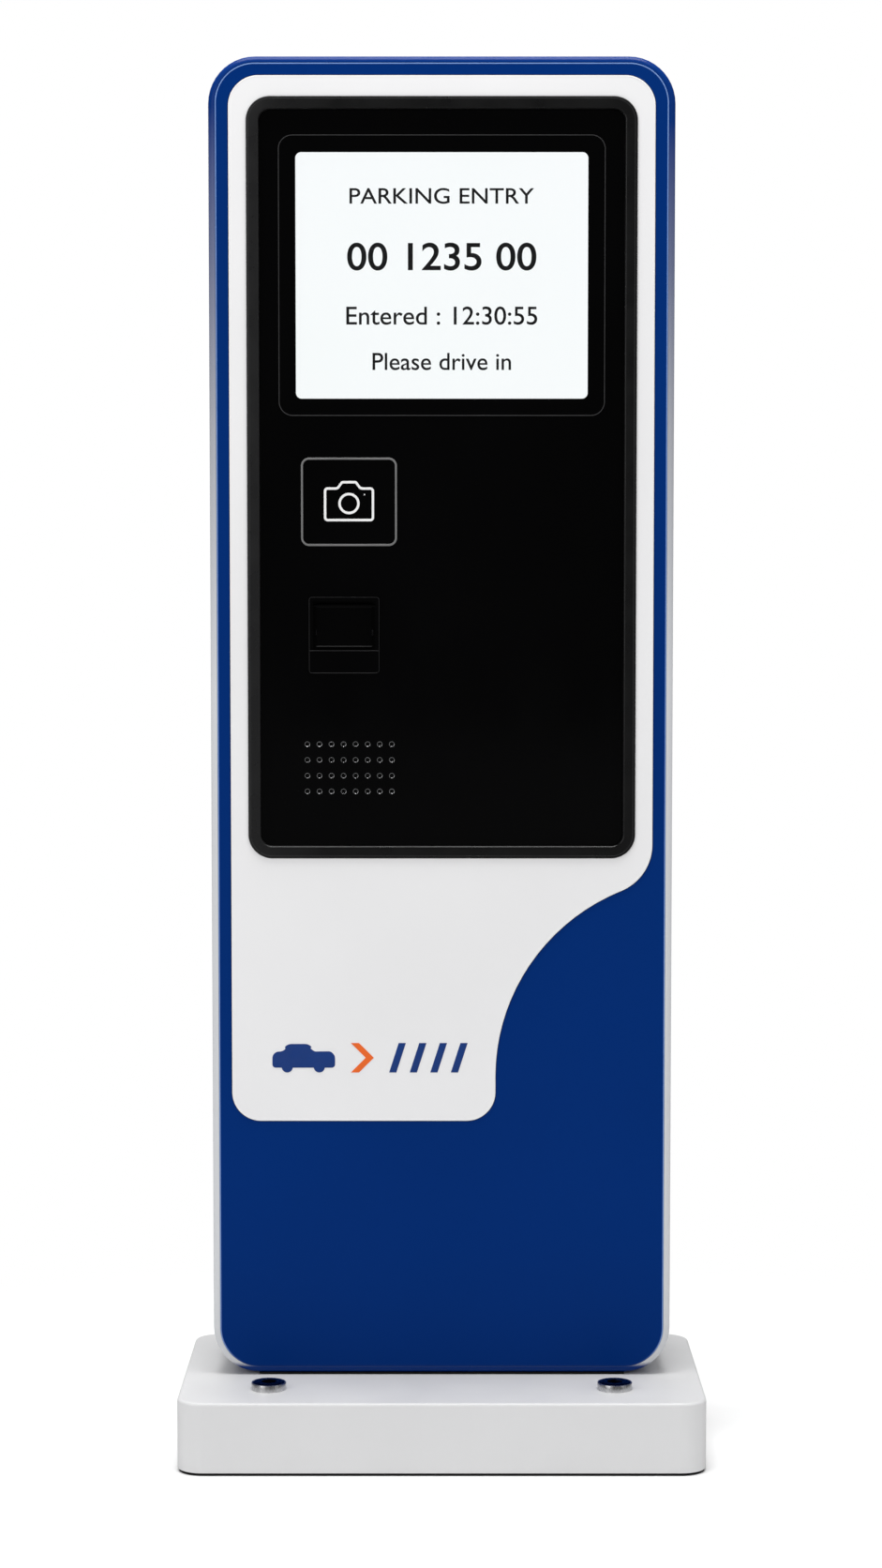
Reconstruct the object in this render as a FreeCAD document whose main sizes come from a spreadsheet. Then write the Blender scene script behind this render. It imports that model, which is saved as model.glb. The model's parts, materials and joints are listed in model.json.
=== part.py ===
"""Driver-side parking station: a slim column on a low plinth, with a display,
a camera window, a ticket mouth with its printer, a speaker grille and a rear
service door.

Millimetres, +Z up. The origin is the middle of the plinth's underside, the
front faces -Y and +X is on the right of someone who stands in front of it.
"""
import FreeCAD, Part
import math
import os
import re

import Sketcher

# ---------------------------------------------------------------- sizes
# alias, value, what it is
SIZES = (
    ("plinth_ledge", 31, "plinth beyond the column, each side"),
    ("plinth_tail", 18, "plinth behind the column"),
    ("plinth_tall", 75, "plinth, floor to ledge"),
    ("plinth_corner", 27, "radius of the plinth's upright corners"),
    ("plinth_edge", 3, "radius of the plinth's top edge"),
    ("plinth_sheet", 3, "plinth steel"),
    ("foot_thick", 3, "rubber ring under the plinth"),
    ("foot_band", 20, "width of that ring"),
    ("foot_inset", 1.5, "how far the ring sits inside the plinth's outline"),
    ("joint_thick", 2, "seal between plinth and column"),
    ("joint_inset", 3, "how far the seal sits inside the column's outline"),
    ("column_wide", 480, "column, side to side"),
    ("column_deep", 165, "column, front to back"),
    ("column_tall", 1368, "column, over the seal"),
    ("column_setback", 117, "column face behind the plinth's front"),
    ("column_corner", 48, "corner radius of the column, seen from the front"),
    ("column_sheet", 3, "column steel"),
    ("edge_roll", 7, "rolled edge round the column's face"),
    ("front_return", 12, "column's front frame, front to back"),
    ("face_sheet", 3, "blue face panel"),
    ("face_gap", 0.3, "gap round panels that drop into a seat"),
    ("face_lip", 18, "seat of the face panel, inward from its edge"),
    ("door_flange", 24, "flange round the service opening"),
    ("overlay_thick", 1.2, "white overlay on the face"),
    ("overlay_side", 21, "overlay's edge in from the column's side"),
    ("overlay_head", 20, "overlay's edge below the column's top"),
    ("overlay_foot", 268, "overlay's lowest edge above the column's bottom"),
    ("overlay_corner", 31, "overlay's upper corners"),
    ("overlay_toe", 30, "overlay's lower corners"),
    ("waist_side", 56, "overlay's lower right edge, right of the middle"),
    ("waist_rise", 47, "where that edge starts to sweep, over the foot"),
    ("sweep_hollow", 210, "radius of the hollow part of the sweep"),
    ("sweep_shoulder", 52, "radius of the shoulder above it"),
    ("bezel_side", 18, "black frame's edge in from the overlay's"),
    ("bezel_tall", 783.4, "black frame, height"),
    ("bezel_drop", 41, "black frame's top below the column's top"),
    ("bezel_corner", 25, "black frame's outer corner"),
    ("bezel_band", 13, "black frame's band"),
    ("bezel_proud", 2, "black frame's band over the overlay"),
    ("bezel_sleeve", 2, "wall of the frame's sleeve"),
    ("fascia_set", 8, "gloss fascia behind the frame's front"),
    ("fascia_thick", 4, "gloss fascia"),
    ("screen_wide", 301, "lit screen, side to side"),
    ("screen_tall", 251.5, "lit screen, height"),
    ("screen_corner", 6, "lit screen's corner"),
    ("screen_drop", 182, "screen's middle below the frame's top"),
    ("rim_band", 17.75, "screen surround's band"),
    ("rim_corner", 14.5, "screen surround's corner"),
    ("rim_thick", 1.2, "screen surround over the fascia"),
    ("glass_lap", 5, "cover glass beyond the lit screen, each side"),
    ("glass_thick", 3, "cover glass"),
    ("lcd_border", 10, "display module beyond the lit screen, each side"),
    ("lcd_thick", 9, "display module"),
    ("tray_deep", 28, "display tray"),
    ("tray_sheet", 1.5, "display tray steel"),
    ("sensor_wide", 7, "light sensor"),
    ("sensor_drop", 24, "light sensor's middle below the frame's top"),
    ("camera_wide", 99.3, "camera surround, side to side"),
    ("camera_tall", 91.1, "camera surround, height"),
    ("camera_corner", 8.5, "camera surround's corner"),
    ("camera_line", 2.6, "camera surround's band"),
    ("camera_proud", 0.8, "camera surround over the fascia"),
    ("camera_side", 96, "camera's middle, left of the column's middle"),
    ("camera_drop", 413.9, "camera's middle below the frame's top"),
    ("camera_glass", 3, "camera window"),
    ("ticket_wide", 72.8, "ticket mouth, side to side"),
    ("ticket_tall", 78.8, "ticket mouth, height"),
    ("ticket_corner", 3, "ticket mouth's corner"),
    ("ticket_side", 101.3, "ticket mouth's middle, left of the middle"),
    ("ticket_drop", 551.6, "ticket mouth's middle below the frame's top"),
    ("ticket_proud", 1.5, "ticket mouth over the fascia"),
    ("pocket_wide", 64, "ticket pocket, side to side"),
    ("pocket_tall", 51, "ticket pocket, height"),
    ("pocket_head", 4, "ticket pocket's top below the mouth's top"),
    ("pocket_wall", 1.5, "ticket pocket's wall"),
    ("pocket_deep", 14, "ticket pocket behind the mouth's plate"),
    ("flap_wide", 57.3, "ticket flap, side to side"),
    ("flap_tall", 43, "ticket flap, pin to lower edge"),
    ("flap_thick", 2, "ticket flap"),
    ("flap_pin", 3, "ticket flap's pin, across"),
    ("flap_barrel", 6, "ticket flap's barrel, across"),
    ("slot_wide", 60, "ticket slot"),
    ("slot_tall", 6, "ticket slot, height"),
    ("slot_rise", 2, "ticket slot's middle above the mouth's middle"),
    ("grille_side", 95.9, "grille's middle, left of the middle"),
    ("grille_drop", 689.4, "grille's middle below the frame's top"),
    ("grille_columns", 8, "grille holes across"),
    ("grille_rows", 4, "grille holes down"),
    ("grille_step", 12.54, "grille holes, pitch across"),
    ("grille_fall", 16.4, "grille holes, pitch down"),
    ("grille_hole", 4.4, "grille hole"),
    ("grille_sink", 0.9, "grille hole's countersink"),
    ("running_gap", 0.05, "play of a shaft in its hole"),
    ("seat_gap", 0.3, "play of a loose fit"),
    ("anchor_front_edge", 92, "front anchors in from the plinth's sides"),
    ("anchor_rear_edge", 111, "rear anchors in from the plinth's sides"),
    ("anchor_inset", 60, "anchors in from the plinth's front and back"),
    ("anchor_cup", 36, "anchor cup washer, across"),
    ("anchor_cup_tall", 6, "anchor cup washer, height"),
    ("anchor_head", 29, "anchor bolt's head, across"),
    ("anchor_shank", 16, "anchor bolt's shank, across"),
    ("anchor_play", 1, "play round an anchor's shank"),
    ("sleeve_wall", 5, "anchor sleeve's wall"),
    ("anchor_floor_gap", 1, "anchor shank's end over the floor"),
    ("cable_hole", 60, "cable entry's hole in the steel"),
    ("cable_wall", 5, "cable grommet's wall"),
    ("cable_inset", 72, "cable entry in front of the column's back"),
    ("cable_brim", 6, "cable grommet's flange beyond its hole"),
    ("cable_flange_thick", 3, "cable grommet's flange"),
    ("tie_side", 110, "bolts between column and plinth, off the middle"),
    ("tie_front_set", 38, "front pair of them behind the column's face"),
    ("tie_rear_set", 27, "rear pair of them in front of its back"),
    ("tie_bolt", 8, "those bolts, across"),
    ("tie_head", 13, "their heads, across the flats"),
    ("tie_head_tall", 5.3, "their heads, height"),
    ("rail_foot", 60, "side rails' lower end over the column's bottom"),
    ("rail_head", 50, "side rails' upper end below the column's top"),
    ("rail_face", 73, "plates' mounting plane behind the column's face"),
    ("rail_leg", 25, "side rails' leg"),
    ("rail_sheet", 2, "side rails' steel"),
    ("plate_gap", 20, "equipment plates in from the column's sides"),
    ("plate_sheet", 2, "equipment plates"),
    ("upper_plate_tall", 400, "upper equipment plate"),
    ("upper_plate_drop", 60, "its top below the column's top"),
    ("lower_plate_tall", 320, "lower equipment plate"),
    ("lower_plate_rise", 300, "its foot over the column's bottom"),
    ("board_wide", 190, "control board, side to side"),
    ("board_tall", 140, "control board, height"),
    ("board_thick", 1.6, "control board"),
    ("board_side", 95, "control board's middle, left of the middle"),
    ("board_drop", 75, "control board's middle below its plate's top"),
    ("standoff_tall", 10, "board standoffs"),
    ("supply_wide", 110, "power supply, side to side"),
    ("supply_tall", 200, "power supply, height"),
    ("supply_deep", 42, "power supply, depth"),
    ("supply_side", 110, "power supply's middle, left of the middle"),
    ("din_long", 190, "mounting rail for the breaker"),
    ("din_tall", 35, "that rail, height"),
    ("din_deep", 7.5, "that rail, depth"),
    ("din_side", 100, "that rail's middle, right of the middle"),
    ("din_lift", 183, "that rail's middle over its plate's foot"),
    ("breaker_wide", 36, "circuit breaker, side to side"),
    ("breaker_tall", 84, "circuit breaker, height"),
    ("breaker_deep", 44, "circuit breaker, depth"),
    ("breaker_side", 50, "circuit breaker's middle, right of the middle"),
    ("toggle_wide", 12, "breaker toggle, side to side"),
    ("toggle_across", 10, "breaker toggle's barrel, across"),
    ("toggle_reach", 14, "breaker toggle's lever from its pivot"),
    ("terminal_wide", 80, "terminal block, side to side"),
    ("terminal_side", 135, "terminal block's middle, right of the middle"),
    ("shelf_tail", 24, "printer shelf behind the printer"),
    ("shelf_wide", 165, "printer shelf, side to side"),
    ("shelf_drop", 60, "printer shelf's flange, height"),
    ("shelf_sheet", 2, "printer shelf"),
    ("roll_ends", 4, "play at each end of the paper roll"),
    ("cheek_sheet", 2, "printer cheeks"),
    ("cheek_tail", 7, "printer cheeks behind the paper roll"),
    ("cheek_head", 11, "printer cheeks over the paper roll"),
    ("platen_across", 16, "platen roller, across"),
    ("platen_shaft", 6, "platen shaft, across"),
    ("platen_set", 17, "platen's axis behind the cheeks' front"),
    ("gear_module", 0.8, "printer gears' module"),
    ("gear_wide", 5, "printer gears' face"),
    ("platen_teeth", 36, "teeth of the platen's gear"),
    ("pinion_teeth", 12, "teeth of the motor's pinion"),
    ("gear_play", 0.12, "extra distance between the gears' axes"),
    ("motor_across", 20, "feed motor, across"),
    ("motor_long", 30, "feed motor"),
    ("motor_shaft", 3, "feed motor's shaft, across"),
    ("roll_across", 66, "paper roll, across"),
    ("roll_wide", 58, "paper roll, width"),
    ("roll_front", 6, "paper roll behind the platen"),
    ("roll_under", 7, "paper roll over the shelf"),
    ("spindle_across", 12, "paper roll's spindle, across"),
    ("blade_wide", 60, "cutter blade, side to side"),
    ("blade_tall", 16, "cutter blade, height"),
    ("blade_thick", 1.5, "cutter blade"),
    ("lid_sheet", 1.5, "printer lid"),
    ("lid_barrel", 6, "printer lid's barrel, across"),
    ("lid_pin", 3, "printer lid's pin, across"),
    ("lid_front", 6, "printer lid's front edge behind the platen"),
    ("speaker_across", 76, "speaker, across"),
    ("speaker_deep", 30, "speaker, depth"),
    ("mesh_thick", 0.8, "speaker mesh"),
    ("door_left", 16, "service door in from the column's hinge side"),
    ("door_right", 6, "service door in from its lock side"),
    ("door_end", 12, "service door in from its top and bottom"),
    ("door_fold", 8, "service door's folded edge"),
    ("door_sheet", 2.5, "service door's steel"),
    ("door_corner", 30, "service door's corner"),
    ("door_gap", 1, "service door's edge behind the column"),
    ("seal_band", 6, "door seal's width"),
    ("hinge_edge", 10, "hinge axis in from the column's side"),
    ("hinge_set", 7, "hinge axis behind the column"),
    ("hinge_across", 10, "hinge knuckle, across"),
    ("hinge_pin", 5, "hinge pin, across"),
    ("hinge_long", 60, "hinge, height"),
    ("hinge_middle", 22, "hinge's middle knuckle"),
    ("hinge_step", 510, "from one hinge to the next"),
    ("leaf_thick", 2.5, "hinge leaf"),
    ("leaf_wide", 34, "hinge leaf from the axis"),
    ("lock_edge", 44, "lock's axis in from the column's side"),
    ("lock_across", 24, "lock barrel, across"),
    ("lock_plug", 14, "lock plug, across"),
    ("lock_long", 13, "lock barrel behind the door's face"),
    ("cam_wide", 16, "lock cam"),
    ("cam_thick", 2.5, "lock cam, thickness"),
    ("cam_reach", 34, "lock cam from its axis"),
    ("fan_wide", 92, "fan frame"),
    ("fan_deep", 25, "fan frame, depth"),
    ("fan_rim", 3, "fan frame round its bore"),
    ("fan_hub", 34, "fan hub"),
    ("fan_blades", 7, "fan blades"),
    ("fan_play", 1.5, "fan blade tips in the bore"),
    ("fan_drop", 215, "fan's middle below the column's top"),
    ("vent_wide", 70, "door vent slot"),
    ("vent_tall", 5, "door vent slot, height"),
    ("vent_step", 13, "door vent slots, pitch"),
    ("vent_count", 5, "door vent slots in a set"),
    ("vent_lift", 113, "lower vents' middle over the column's bottom"),
)

# Sizes that follow from the ones above, so that pieces still fit when one changes.
FITTED = (
    ("plinth_wide", "column_wide + 2 * plinth_ledge", "plinth, side to side"),
    ("plinth_deep", "column_setback + column_deep + plinth_tail",
     "plinth, front to back"),
    ("bezel_wide", "column_wide - 2 * overlay_side - 2 * bezel_side",
     "black frame, side to side"),
    ("rim_wide", "screen_wide + 2 * rim_band", "screen surround, side to side"),
    ("rim_tall", "screen_tall + 2 * rim_band", "screen surround, height"),
    ("anchor_front_side", "plinth_wide / 2 - anchor_front_edge",
     "front anchors, off the middle"),
    ("anchor_rear_side", "plinth_wide / 2 - anchor_rear_edge",
     "rear anchors, off the middle"),
    ("anchor_hole", "anchor_shank + 2 * anchor_play", "anchor hole and sleeve bore"),
    ("anchor_sleeve", "anchor_hole + 2 * sleeve_wall", "anchor sleeve, across"),
    ("cable_bore", "cable_hole - 2 * cable_wall", "cable entry's grommet bore"),
    ("cable_set", "column_setback + column_deep - cable_inset - plinth_deep / 2",
     "cable entry, behind the plinth's middle"),
    ("cable_flange", "cable_hole + 2 * cable_brim", "cable grommet's flange, across"),
    ("tie_front", "column_setback + tie_front_set - plinth_deep / 2",
     "front pair of column bolts, behind the plinth's middle"),
    ("tie_rear", "column_setback + column_deep - tie_rear_set - plinth_deep / 2",
     "rear pair of column bolts"),
    ("plate_wide", "column_wide - 2 * plate_gap", "equipment plates, side to side"),
    ("board_rise", "plinth_tall + joint_thick + column_tall - upper_plate_drop"
     " - board_drop", "control board's middle over the floor"),
    ("din_rise", "plinth_tall + joint_thick + lower_plate_rise + din_lift",
     "breaker rail's middle over the floor"),
    ("printer_inside", "roll_wide + 2 * roll_ends", "printer, between its cheeks"),
    ("roll_set", "platen_set + platen_across / 2 + roll_front + roll_across / 2",
     "paper roll's axis behind the cheeks' front"),
    ("roll_rise", "roll_across / 2 + roll_under", "paper roll's axis over the shelf"),
    ("cheek_deep", "roll_set + roll_across / 2 + cheek_tail",
     "printer cheeks, front to back"),
    ("cheek_tall", "roll_rise + roll_across / 2 + cheek_head",
     "printer cheeks, height"),
    ("lid_long", "cheek_deep - lid_barrel / 2 - platen_set - platen_across / 2"
     " - lid_front", "printer lid, from its pin to its front edge"),
    ("shelf_deep", "cheek_deep + shelf_tail", "printer shelf, front to back"),
    ("door_wide", "column_wide - door_left - door_right", "service door, side to side"),
    ("door_tall", "column_tall - 2 * door_end", "service door, height"),
    ("door_shift", "(door_left - door_right) / 2",
     "service door's middle, right of the column's"),
    ("hinge_side", "column_wide / 2 - hinge_edge", "hinge axis, left of the middle"),
    ("lock_side", "column_wide / 2 - lock_edge", "lock's axis, right of the middle"),
    ("fan_bore", "fan_wide - 2 * fan_rim", "fan bore"),
    ("fan_rise", "plinth_tall + joint_thick + column_tall - fan_drop",
     "fan's middle over the floor"),
    ("vent_low", "plinth_tall + joint_thick + vent_lift",
     "lower vents' middle over the floor"),
)

ALIASES = {row[0] for row in SIZES + FITTED}

# Places that many pieces share, as expressions on the sheet.
BASE = "(plinth_tall + joint_thick)"
TOP = "(plinth_tall + joint_thick + column_tall)"
MIDDLE = "(plinth_tall + joint_thick + column_tall / 2)"
FRONT = "(column_setback - plinth_deep / 2)"
REAR = "(column_setback + column_deep - plinth_deep / 2)"
BEZEL_MIDDLE = "(%s - bezel_drop - bezel_tall / 2)" % TOP
FRAME_FRONT = "(%s - overlay_thick - bezel_proud)" % FRONT
FASCIA = "(%s + fascia_set)" % FRAME_FRONT
FASCIA_BACK = "(%s + fascia_thick)" % FASCIA
PLATES = "(%s + rail_face)" % FRONT
WALL = "(column_wide / 2 - column_sheet)"
DOOR_BACK = "(%s + door_gap + door_fold)" % REAR
DOOR_INNER = "(%s - door_sheet)" % DOOR_BACK
TICKET_Z = "(%s - bezel_drop - ticket_drop)" % TOP
FLAP_Y = "(%s + pocket_deep / 2 - flap_thick)" % FASCIA
FLAP_Z = "(%s + ticket_tall / 2 - pocket_head - flap_barrel / 2 - 2)" % TICKET_Z
SHELF = "(%s - ticket_tall / 2 - 20)" % TICKET_Z
CHEEK_FRONT = "(%s + pocket_deep + 9)" % FASCIA
PLATEN_Y = "(%s + platen_set)" % CHEEK_FRONT
PLATEN_Z = "(%s + slot_rise - platen_across / 2)" % TICKET_Z
PINION_Z = ("(%s - gear_module * (platen_teeth + pinion_teeth) / 2 - gear_play)"
            % PLATEN_Z)
ROLL_Y = "(%s + roll_set)" % CHEEK_FRONT
ROLL_Z = "(%s + shelf_sheet + roll_rise)" % SHELF
LID_Y = "(%s + cheek_deep - lid_barrel / 2)" % CHEEK_FRONT
LID_Z = "(%s + shelf_sheet + cheek_tall + lid_barrel / 2 + seat_gap)" % SHELF
FAN_Y = DOOR_INNER
LOCK_Y = DOOR_BACK
HINGE_Y = "(%s + hinge_set)" % REAR
TOGGLE_Y = "(%s + plate_sheet + din_deep + breaker_deep - 5)" % PLATES

doc = FreeCAD.newDocument("ParkingStation")
sheet = doc.addObject("Spreadsheet::Sheet", "Sizes")
for row, (alias, value, note) in enumerate(SIZES + FITTED, start=1):
    formula = "=" + value if (alias, value, note) in FITTED else str(value)
    sheet.set("A%d" % row, formula)
    sheet.setAlias("A%d" % row, alias)
    sheet.set("B%d" % row, note)
doc.recompute()

probe = doc.addObject("App::VarSet", "Probe")
probe.addProperty("App::PropertyFloat", "reading")

FACING = {
    "up": FreeCAD.Rotation(),
    "front": FreeCAD.Rotation(FreeCAD.Vector(1, 0, 0), 90),
    "rear": FreeCAD.Rotation(FreeCAD.Vector(1, 0, 0), -90),
    "right": FreeCAD.Rotation(FreeCAD.Vector(1, 1, 1), 120),
}
KEPT = []


# ---------------------------------------------------------------- helpers
def bound(text):
    """Writes each alias in an expression as a cell of the sheet."""
    def cell(match):
        word = match.group(0)
        return "Sizes." + word if word in ALIASES else word
    return re.sub(r"[a-z_]+", cell, text)


def now(text):
    """The present value of an expression."""
    probe.setExpression("reading", bound(text))
    probe.recompute()
    return probe.reading


def tie(thing, prop, text):
    """Ties one property of an object to the sheet."""
    thing.setExpression(prop, bound(text))


def place(thing, x, y, z, facing="up"):
    """Puts an object's own frame at x, y, z, turned to face one way."""
    thing.Placement = FreeCAD.Placement(FreeCAD.Vector(), FACING[facing])
    for axis, text in (("x", x), ("y", y), ("z", z)):
        tie(thing, "Placement.Base." + axis, text)
    return thing


def keep(thing, label):
    """Names a finished sub-part, which is written to its own file."""
    thing.Label = label
    KEPT.append(thing)
    return thing


def new_body(label, x, y, z, facing="up"):
    body = doc.addObject("PartDesign::Body", label)
    place(body, x, y, z, facing)
    return keep(body, label)


def sketch(body, u="0", v="0", level="0"):
    """A sketch parallel to the body's own XY plane, centred at u, v."""
    made = body.newObject("Sketcher::SketchObject", body.Name + "_outline")
    plane = next(o for o in body.Origin.OriginFeatures if o.Role == "XY_Plane")
    made.AttachmentSupport = [(plane, "")]
    made.MapMode = "FlatFace"
    for axis, text in (("x", u), ("y", v), ("z", level)):
        tie(made, "AttachmentOffset.Base." + axis, text)
    return made


def drive(made, text, kind, *where):
    """Adds one sketch constraint whose value comes from the sheet."""
    index = made.addConstraint(Sketcher.Constraint(kind, *where, now(text)))
    name = "size_%d" % index
    made.renameConstraint(index, name)
    tie(made, "Constraints." + name, text)


def line(made, start, end):
    first = FreeCAD.Vector(start[0], start[1], 0)
    last = FreeCAD.Vector(end[0], end[1], 0)
    return made.addGeometry(Part.LineSegment(first, last))


def arc(made, centre, radius, begin, finish):
    """A counter-clockwise arc, its angles in degrees."""
    ring = Part.Circle(FreeCAD.Vector(centre[0], centre[1], 0),
                       FreeCAD.Vector(0, 0, 1), radius)
    return made.addGeometry(Part.ArcOfCircle(ring, math.radians(begin),
                                             math.radians(finish)))


def rounded(made, wide, tall, corner):
    """A rounded rectangle about the sketch's origin."""
    a, b, r = now(wide) / 2, now(tall) / 2, now(corner)
    foot = line(made, (r - a, -b), (a - r, -b))
    right = line(made, (a, r - b), (a, b - r))
    head = line(made, (a - r, b), (r - a, b))
    left = line(made, (-a, b - r), (-a, r - b))
    turns = [arc(made, (a - r, r - b), r, 270, 360),
             arc(made, (a - r, b - r), r, 0, 90),
             arc(made, (r - a, b - r), r, 90, 180),
             arc(made, (r - a, r - b), r, 180, 270)]
    sides = [foot, right, head, left]
    for side, turn, after in zip(sides, turns, sides[1:] + sides[:1]):
        made.addConstraint(Sketcher.Constraint("Tangent", side, 2, turn, 1))
        made.addConstraint(Sketcher.Constraint("Tangent", turn, 2, after, 1))
    made.addConstraint(Sketcher.Constraint("Horizontal", head))
    made.addConstraint(Sketcher.Constraint("Vertical", left))
    for turn in turns[1:]:
        made.addConstraint(Sketcher.Constraint("Equal", turns[0], turn))
    drive(made, corner, "Radius", turns[0])
    made.addConstraint(Sketcher.Constraint("Symmetric", foot, 1, foot, 2, -2))
    made.addConstraint(Sketcher.Constraint("Symmetric", right, 1, right, 2, -1))
    drive(made, wide, "DistanceX", left, 1, right, 1)
    drive(made, tall, "DistanceY", foot, 1, head, 1)
    return made


def rectangle(made, wide, tall):
    """A plain rectangle about the sketch's origin."""
    a, b = now(wide) / 2, now(tall) / 2
    sides = [line(made, (-a, -b), (a, -b)), line(made, (a, -b), (a, b)),
             line(made, (a, b), (-a, b)), line(made, (-a, b), (-a, -b))]
    for side, after in zip(sides, sides[1:] + sides[:1]):
        made.addConstraint(Sketcher.Constraint("Coincident", side, 2, after, 1))
    for side, kind in zip(sides, ("Horizontal", "Vertical") * 2):
        made.addConstraint(Sketcher.Constraint(kind, side))
    made.addConstraint(Sketcher.Constraint("Symmetric", sides[0], 1, sides[2], 1, -1, 1))
    drive(made, wide, "DistanceX", sides[0], 1, sides[0], 2)
    drive(made, tall, "DistanceY", sides[1], 1, sides[1], 2)
    return made


def circle(made, across, u="0", v="0"):
    """A circle of a given diameter at u, v in the sketch."""
    ring = Part.Circle(FreeCAD.Vector(now(u), now(v), 0), FreeCAD.Vector(0, 0, 1),
                       now(across) / 2)
    added = made.addGeometry(ring)
    drive(made, across, "Diameter", added)
    if (u, v) == ("0", "0"):
        made.addConstraint(Sketcher.Constraint("Coincident", added, 3, -1, 1))
    else:
        drive(made, u, "DistanceX", -1, 1, added, 3)
        drive(made, v, "DistanceY", -1, 1, added, 3)
    return made


def pad(body, made, length):
    """Raises a sketch along the body's own +Z."""
    feature = body.newObject("PartDesign::Pad", body.Name + "_pad")
    feature.Profile = made
    tie(feature, "Length", length)
    return feature


def pocket(body, made, depth):
    """Cuts a sketch down along the body's own -Z, from the sketch's level."""
    feature = body.newObject("PartDesign::Pocket", body.Name + "_pocket")
    feature.Profile = made
    tie(feature, "Length", depth)
    return feature


def dress(body, kind, edges, size):
    """Rounds or bevels the edges of the body's last feature that pass a test."""
    doc.recompute()
    last = body.Tip
    names = ["Edge%d" % number
             for number, edge in enumerate(last.Shape.Edges, start=1)
             if edges(edge)]
    feature = body.newObject("PartDesign::" + kind, body.Name + "_edges")
    feature.Base = (last, names)
    tie(feature, "Radius" if kind == "Fillet" else "Size", size)
    return feature


def at_level(height, reach=None):
    """A test for edges that lie flat at one height, and outside a box."""
    def test(edge):
        box = edge.BoundBox
        flat = abs(box.ZMin - height) < 1e-4 and abs(box.ZMax - height) < 1e-4
        if reach is None:
            return flat
        far = max(abs(box.XMin), abs(box.XMax)) > reach[0] or \
            max(abs(box.YMin), abs(box.YMax)) > reach[1]
        return flat and far
    return test


def block(x, y, z, wide, deep, tall):
    """A box: its middle in x, its front in y, its foot in z."""
    made = doc.addObject("Part::Box", "block")
    tie(made, "Length", wide)
    tie(made, "Width", deep)
    tie(made, "Height", tall)
    return place(made, "%s - (%s) / 2" % (x, wide), y, z)


def rod(across, length, x, y, z, facing="up"):
    """A cylinder that starts at x, y, z and runs the way it faces."""
    made = doc.addObject("Part::Cylinder", "rod")
    tie(made, "Radius", "(%s) / 2" % across)
    tie(made, "Height", length)
    return place(made, x, y, z, facing)


def hexagon(flats, length, x, y, z, facing="up"):
    """A six-sided prism, its size across the flats."""
    made = doc.addObject("Part::Prism", "hexagon")
    made.Polygon = 6
    tie(made, "Circumradius", "(%s) / 2 / cos(30)" % flats)
    tie(made, "Height", length)
    return place(made, x, y, z, facing)


def join(*pieces):
    made = doc.addObject("Part::MultiFuse", "join")
    made.Shapes = list(pieces)
    return made


def cut(base, *tools):
    made = doc.addObject("Part::Cut", "cut")
    made.Base = base
    made.Tool = tools[0] if len(tools) == 1 else join(*tools)
    return made


def tube(outer, inner, length, x, y, z, facing="up"):
    return cut(rod(outer, length, x, y, z, facing), rod(inner, length, x, y, z, facing))


# ---------------------------------------------------------------- plinth
def anchors():
    """The four anchors: x, y and the height of what their cups clamp."""
    front = "(anchor_inset - plinth_deep / 2)"
    rear = "(plinth_deep / 2 - anchor_inset)"
    floor = "(%s + column_sheet)" % BASE
    for sign in ("-", ""):
        yield sign + "anchor_front_side", front, "plinth_tall"
        yield sign + "anchor_rear_side", rear, floor


def ties():
    """The four bolts that hold the column on the plinth."""
    for sign in ("-", ""):
        for y in ("tie_front", "tie_rear"):
            yield sign + "tie_side", y


def foot_ring():
    body = new_body("floor_gasket", "0", "0", "0")
    outline = rounded(sketch(body), "plinth_wide - 2 * foot_inset",
                      "plinth_deep - 2 * foot_inset", "plinth_corner - foot_inset")
    pad(body, outline, "foot_thick")
    hole = rounded(sketch(body, level="foot_thick"),
                   "plinth_wide - 2 * foot_inset - 2 * foot_band",
                   "plinth_deep - 2 * foot_inset - 2 * foot_band",
                   "plinth_corner - foot_inset - foot_band / 2")
    pocket(body, hole, "foot_thick")


def plinth_shell():
    body = new_body("plinth_shell", "0", "0", "foot_thick")
    tall = "plinth_tall - foot_thick"
    pad(body, rounded(sketch(body), "plinth_wide", "plinth_deep", "plinth_corner"), tall)
    dress(body, "Fillet", at_level(now(tall)), "plinth_edge")
    inside = rounded(sketch(body, level=tall + " - plinth_sheet"),
                     "plinth_wide - 2 * plinth_sheet", "plinth_deep - 2 * plinth_sheet",
                     "plinth_corner - plinth_sheet")
    pocket(body, inside, tall + " - plinth_sheet")
    holes = sketch(body, level=tall)
    circle(holes, "cable_hole", "0", "cable_set")
    for x, y, seat in anchors():
        circle(holes, "anchor_hole", x, y)
    for x, y in ties():
        circle(holes, "tie_bolt + 1", x, y)
    pocket(body, holes, "plinth_sheet + 1")


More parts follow.
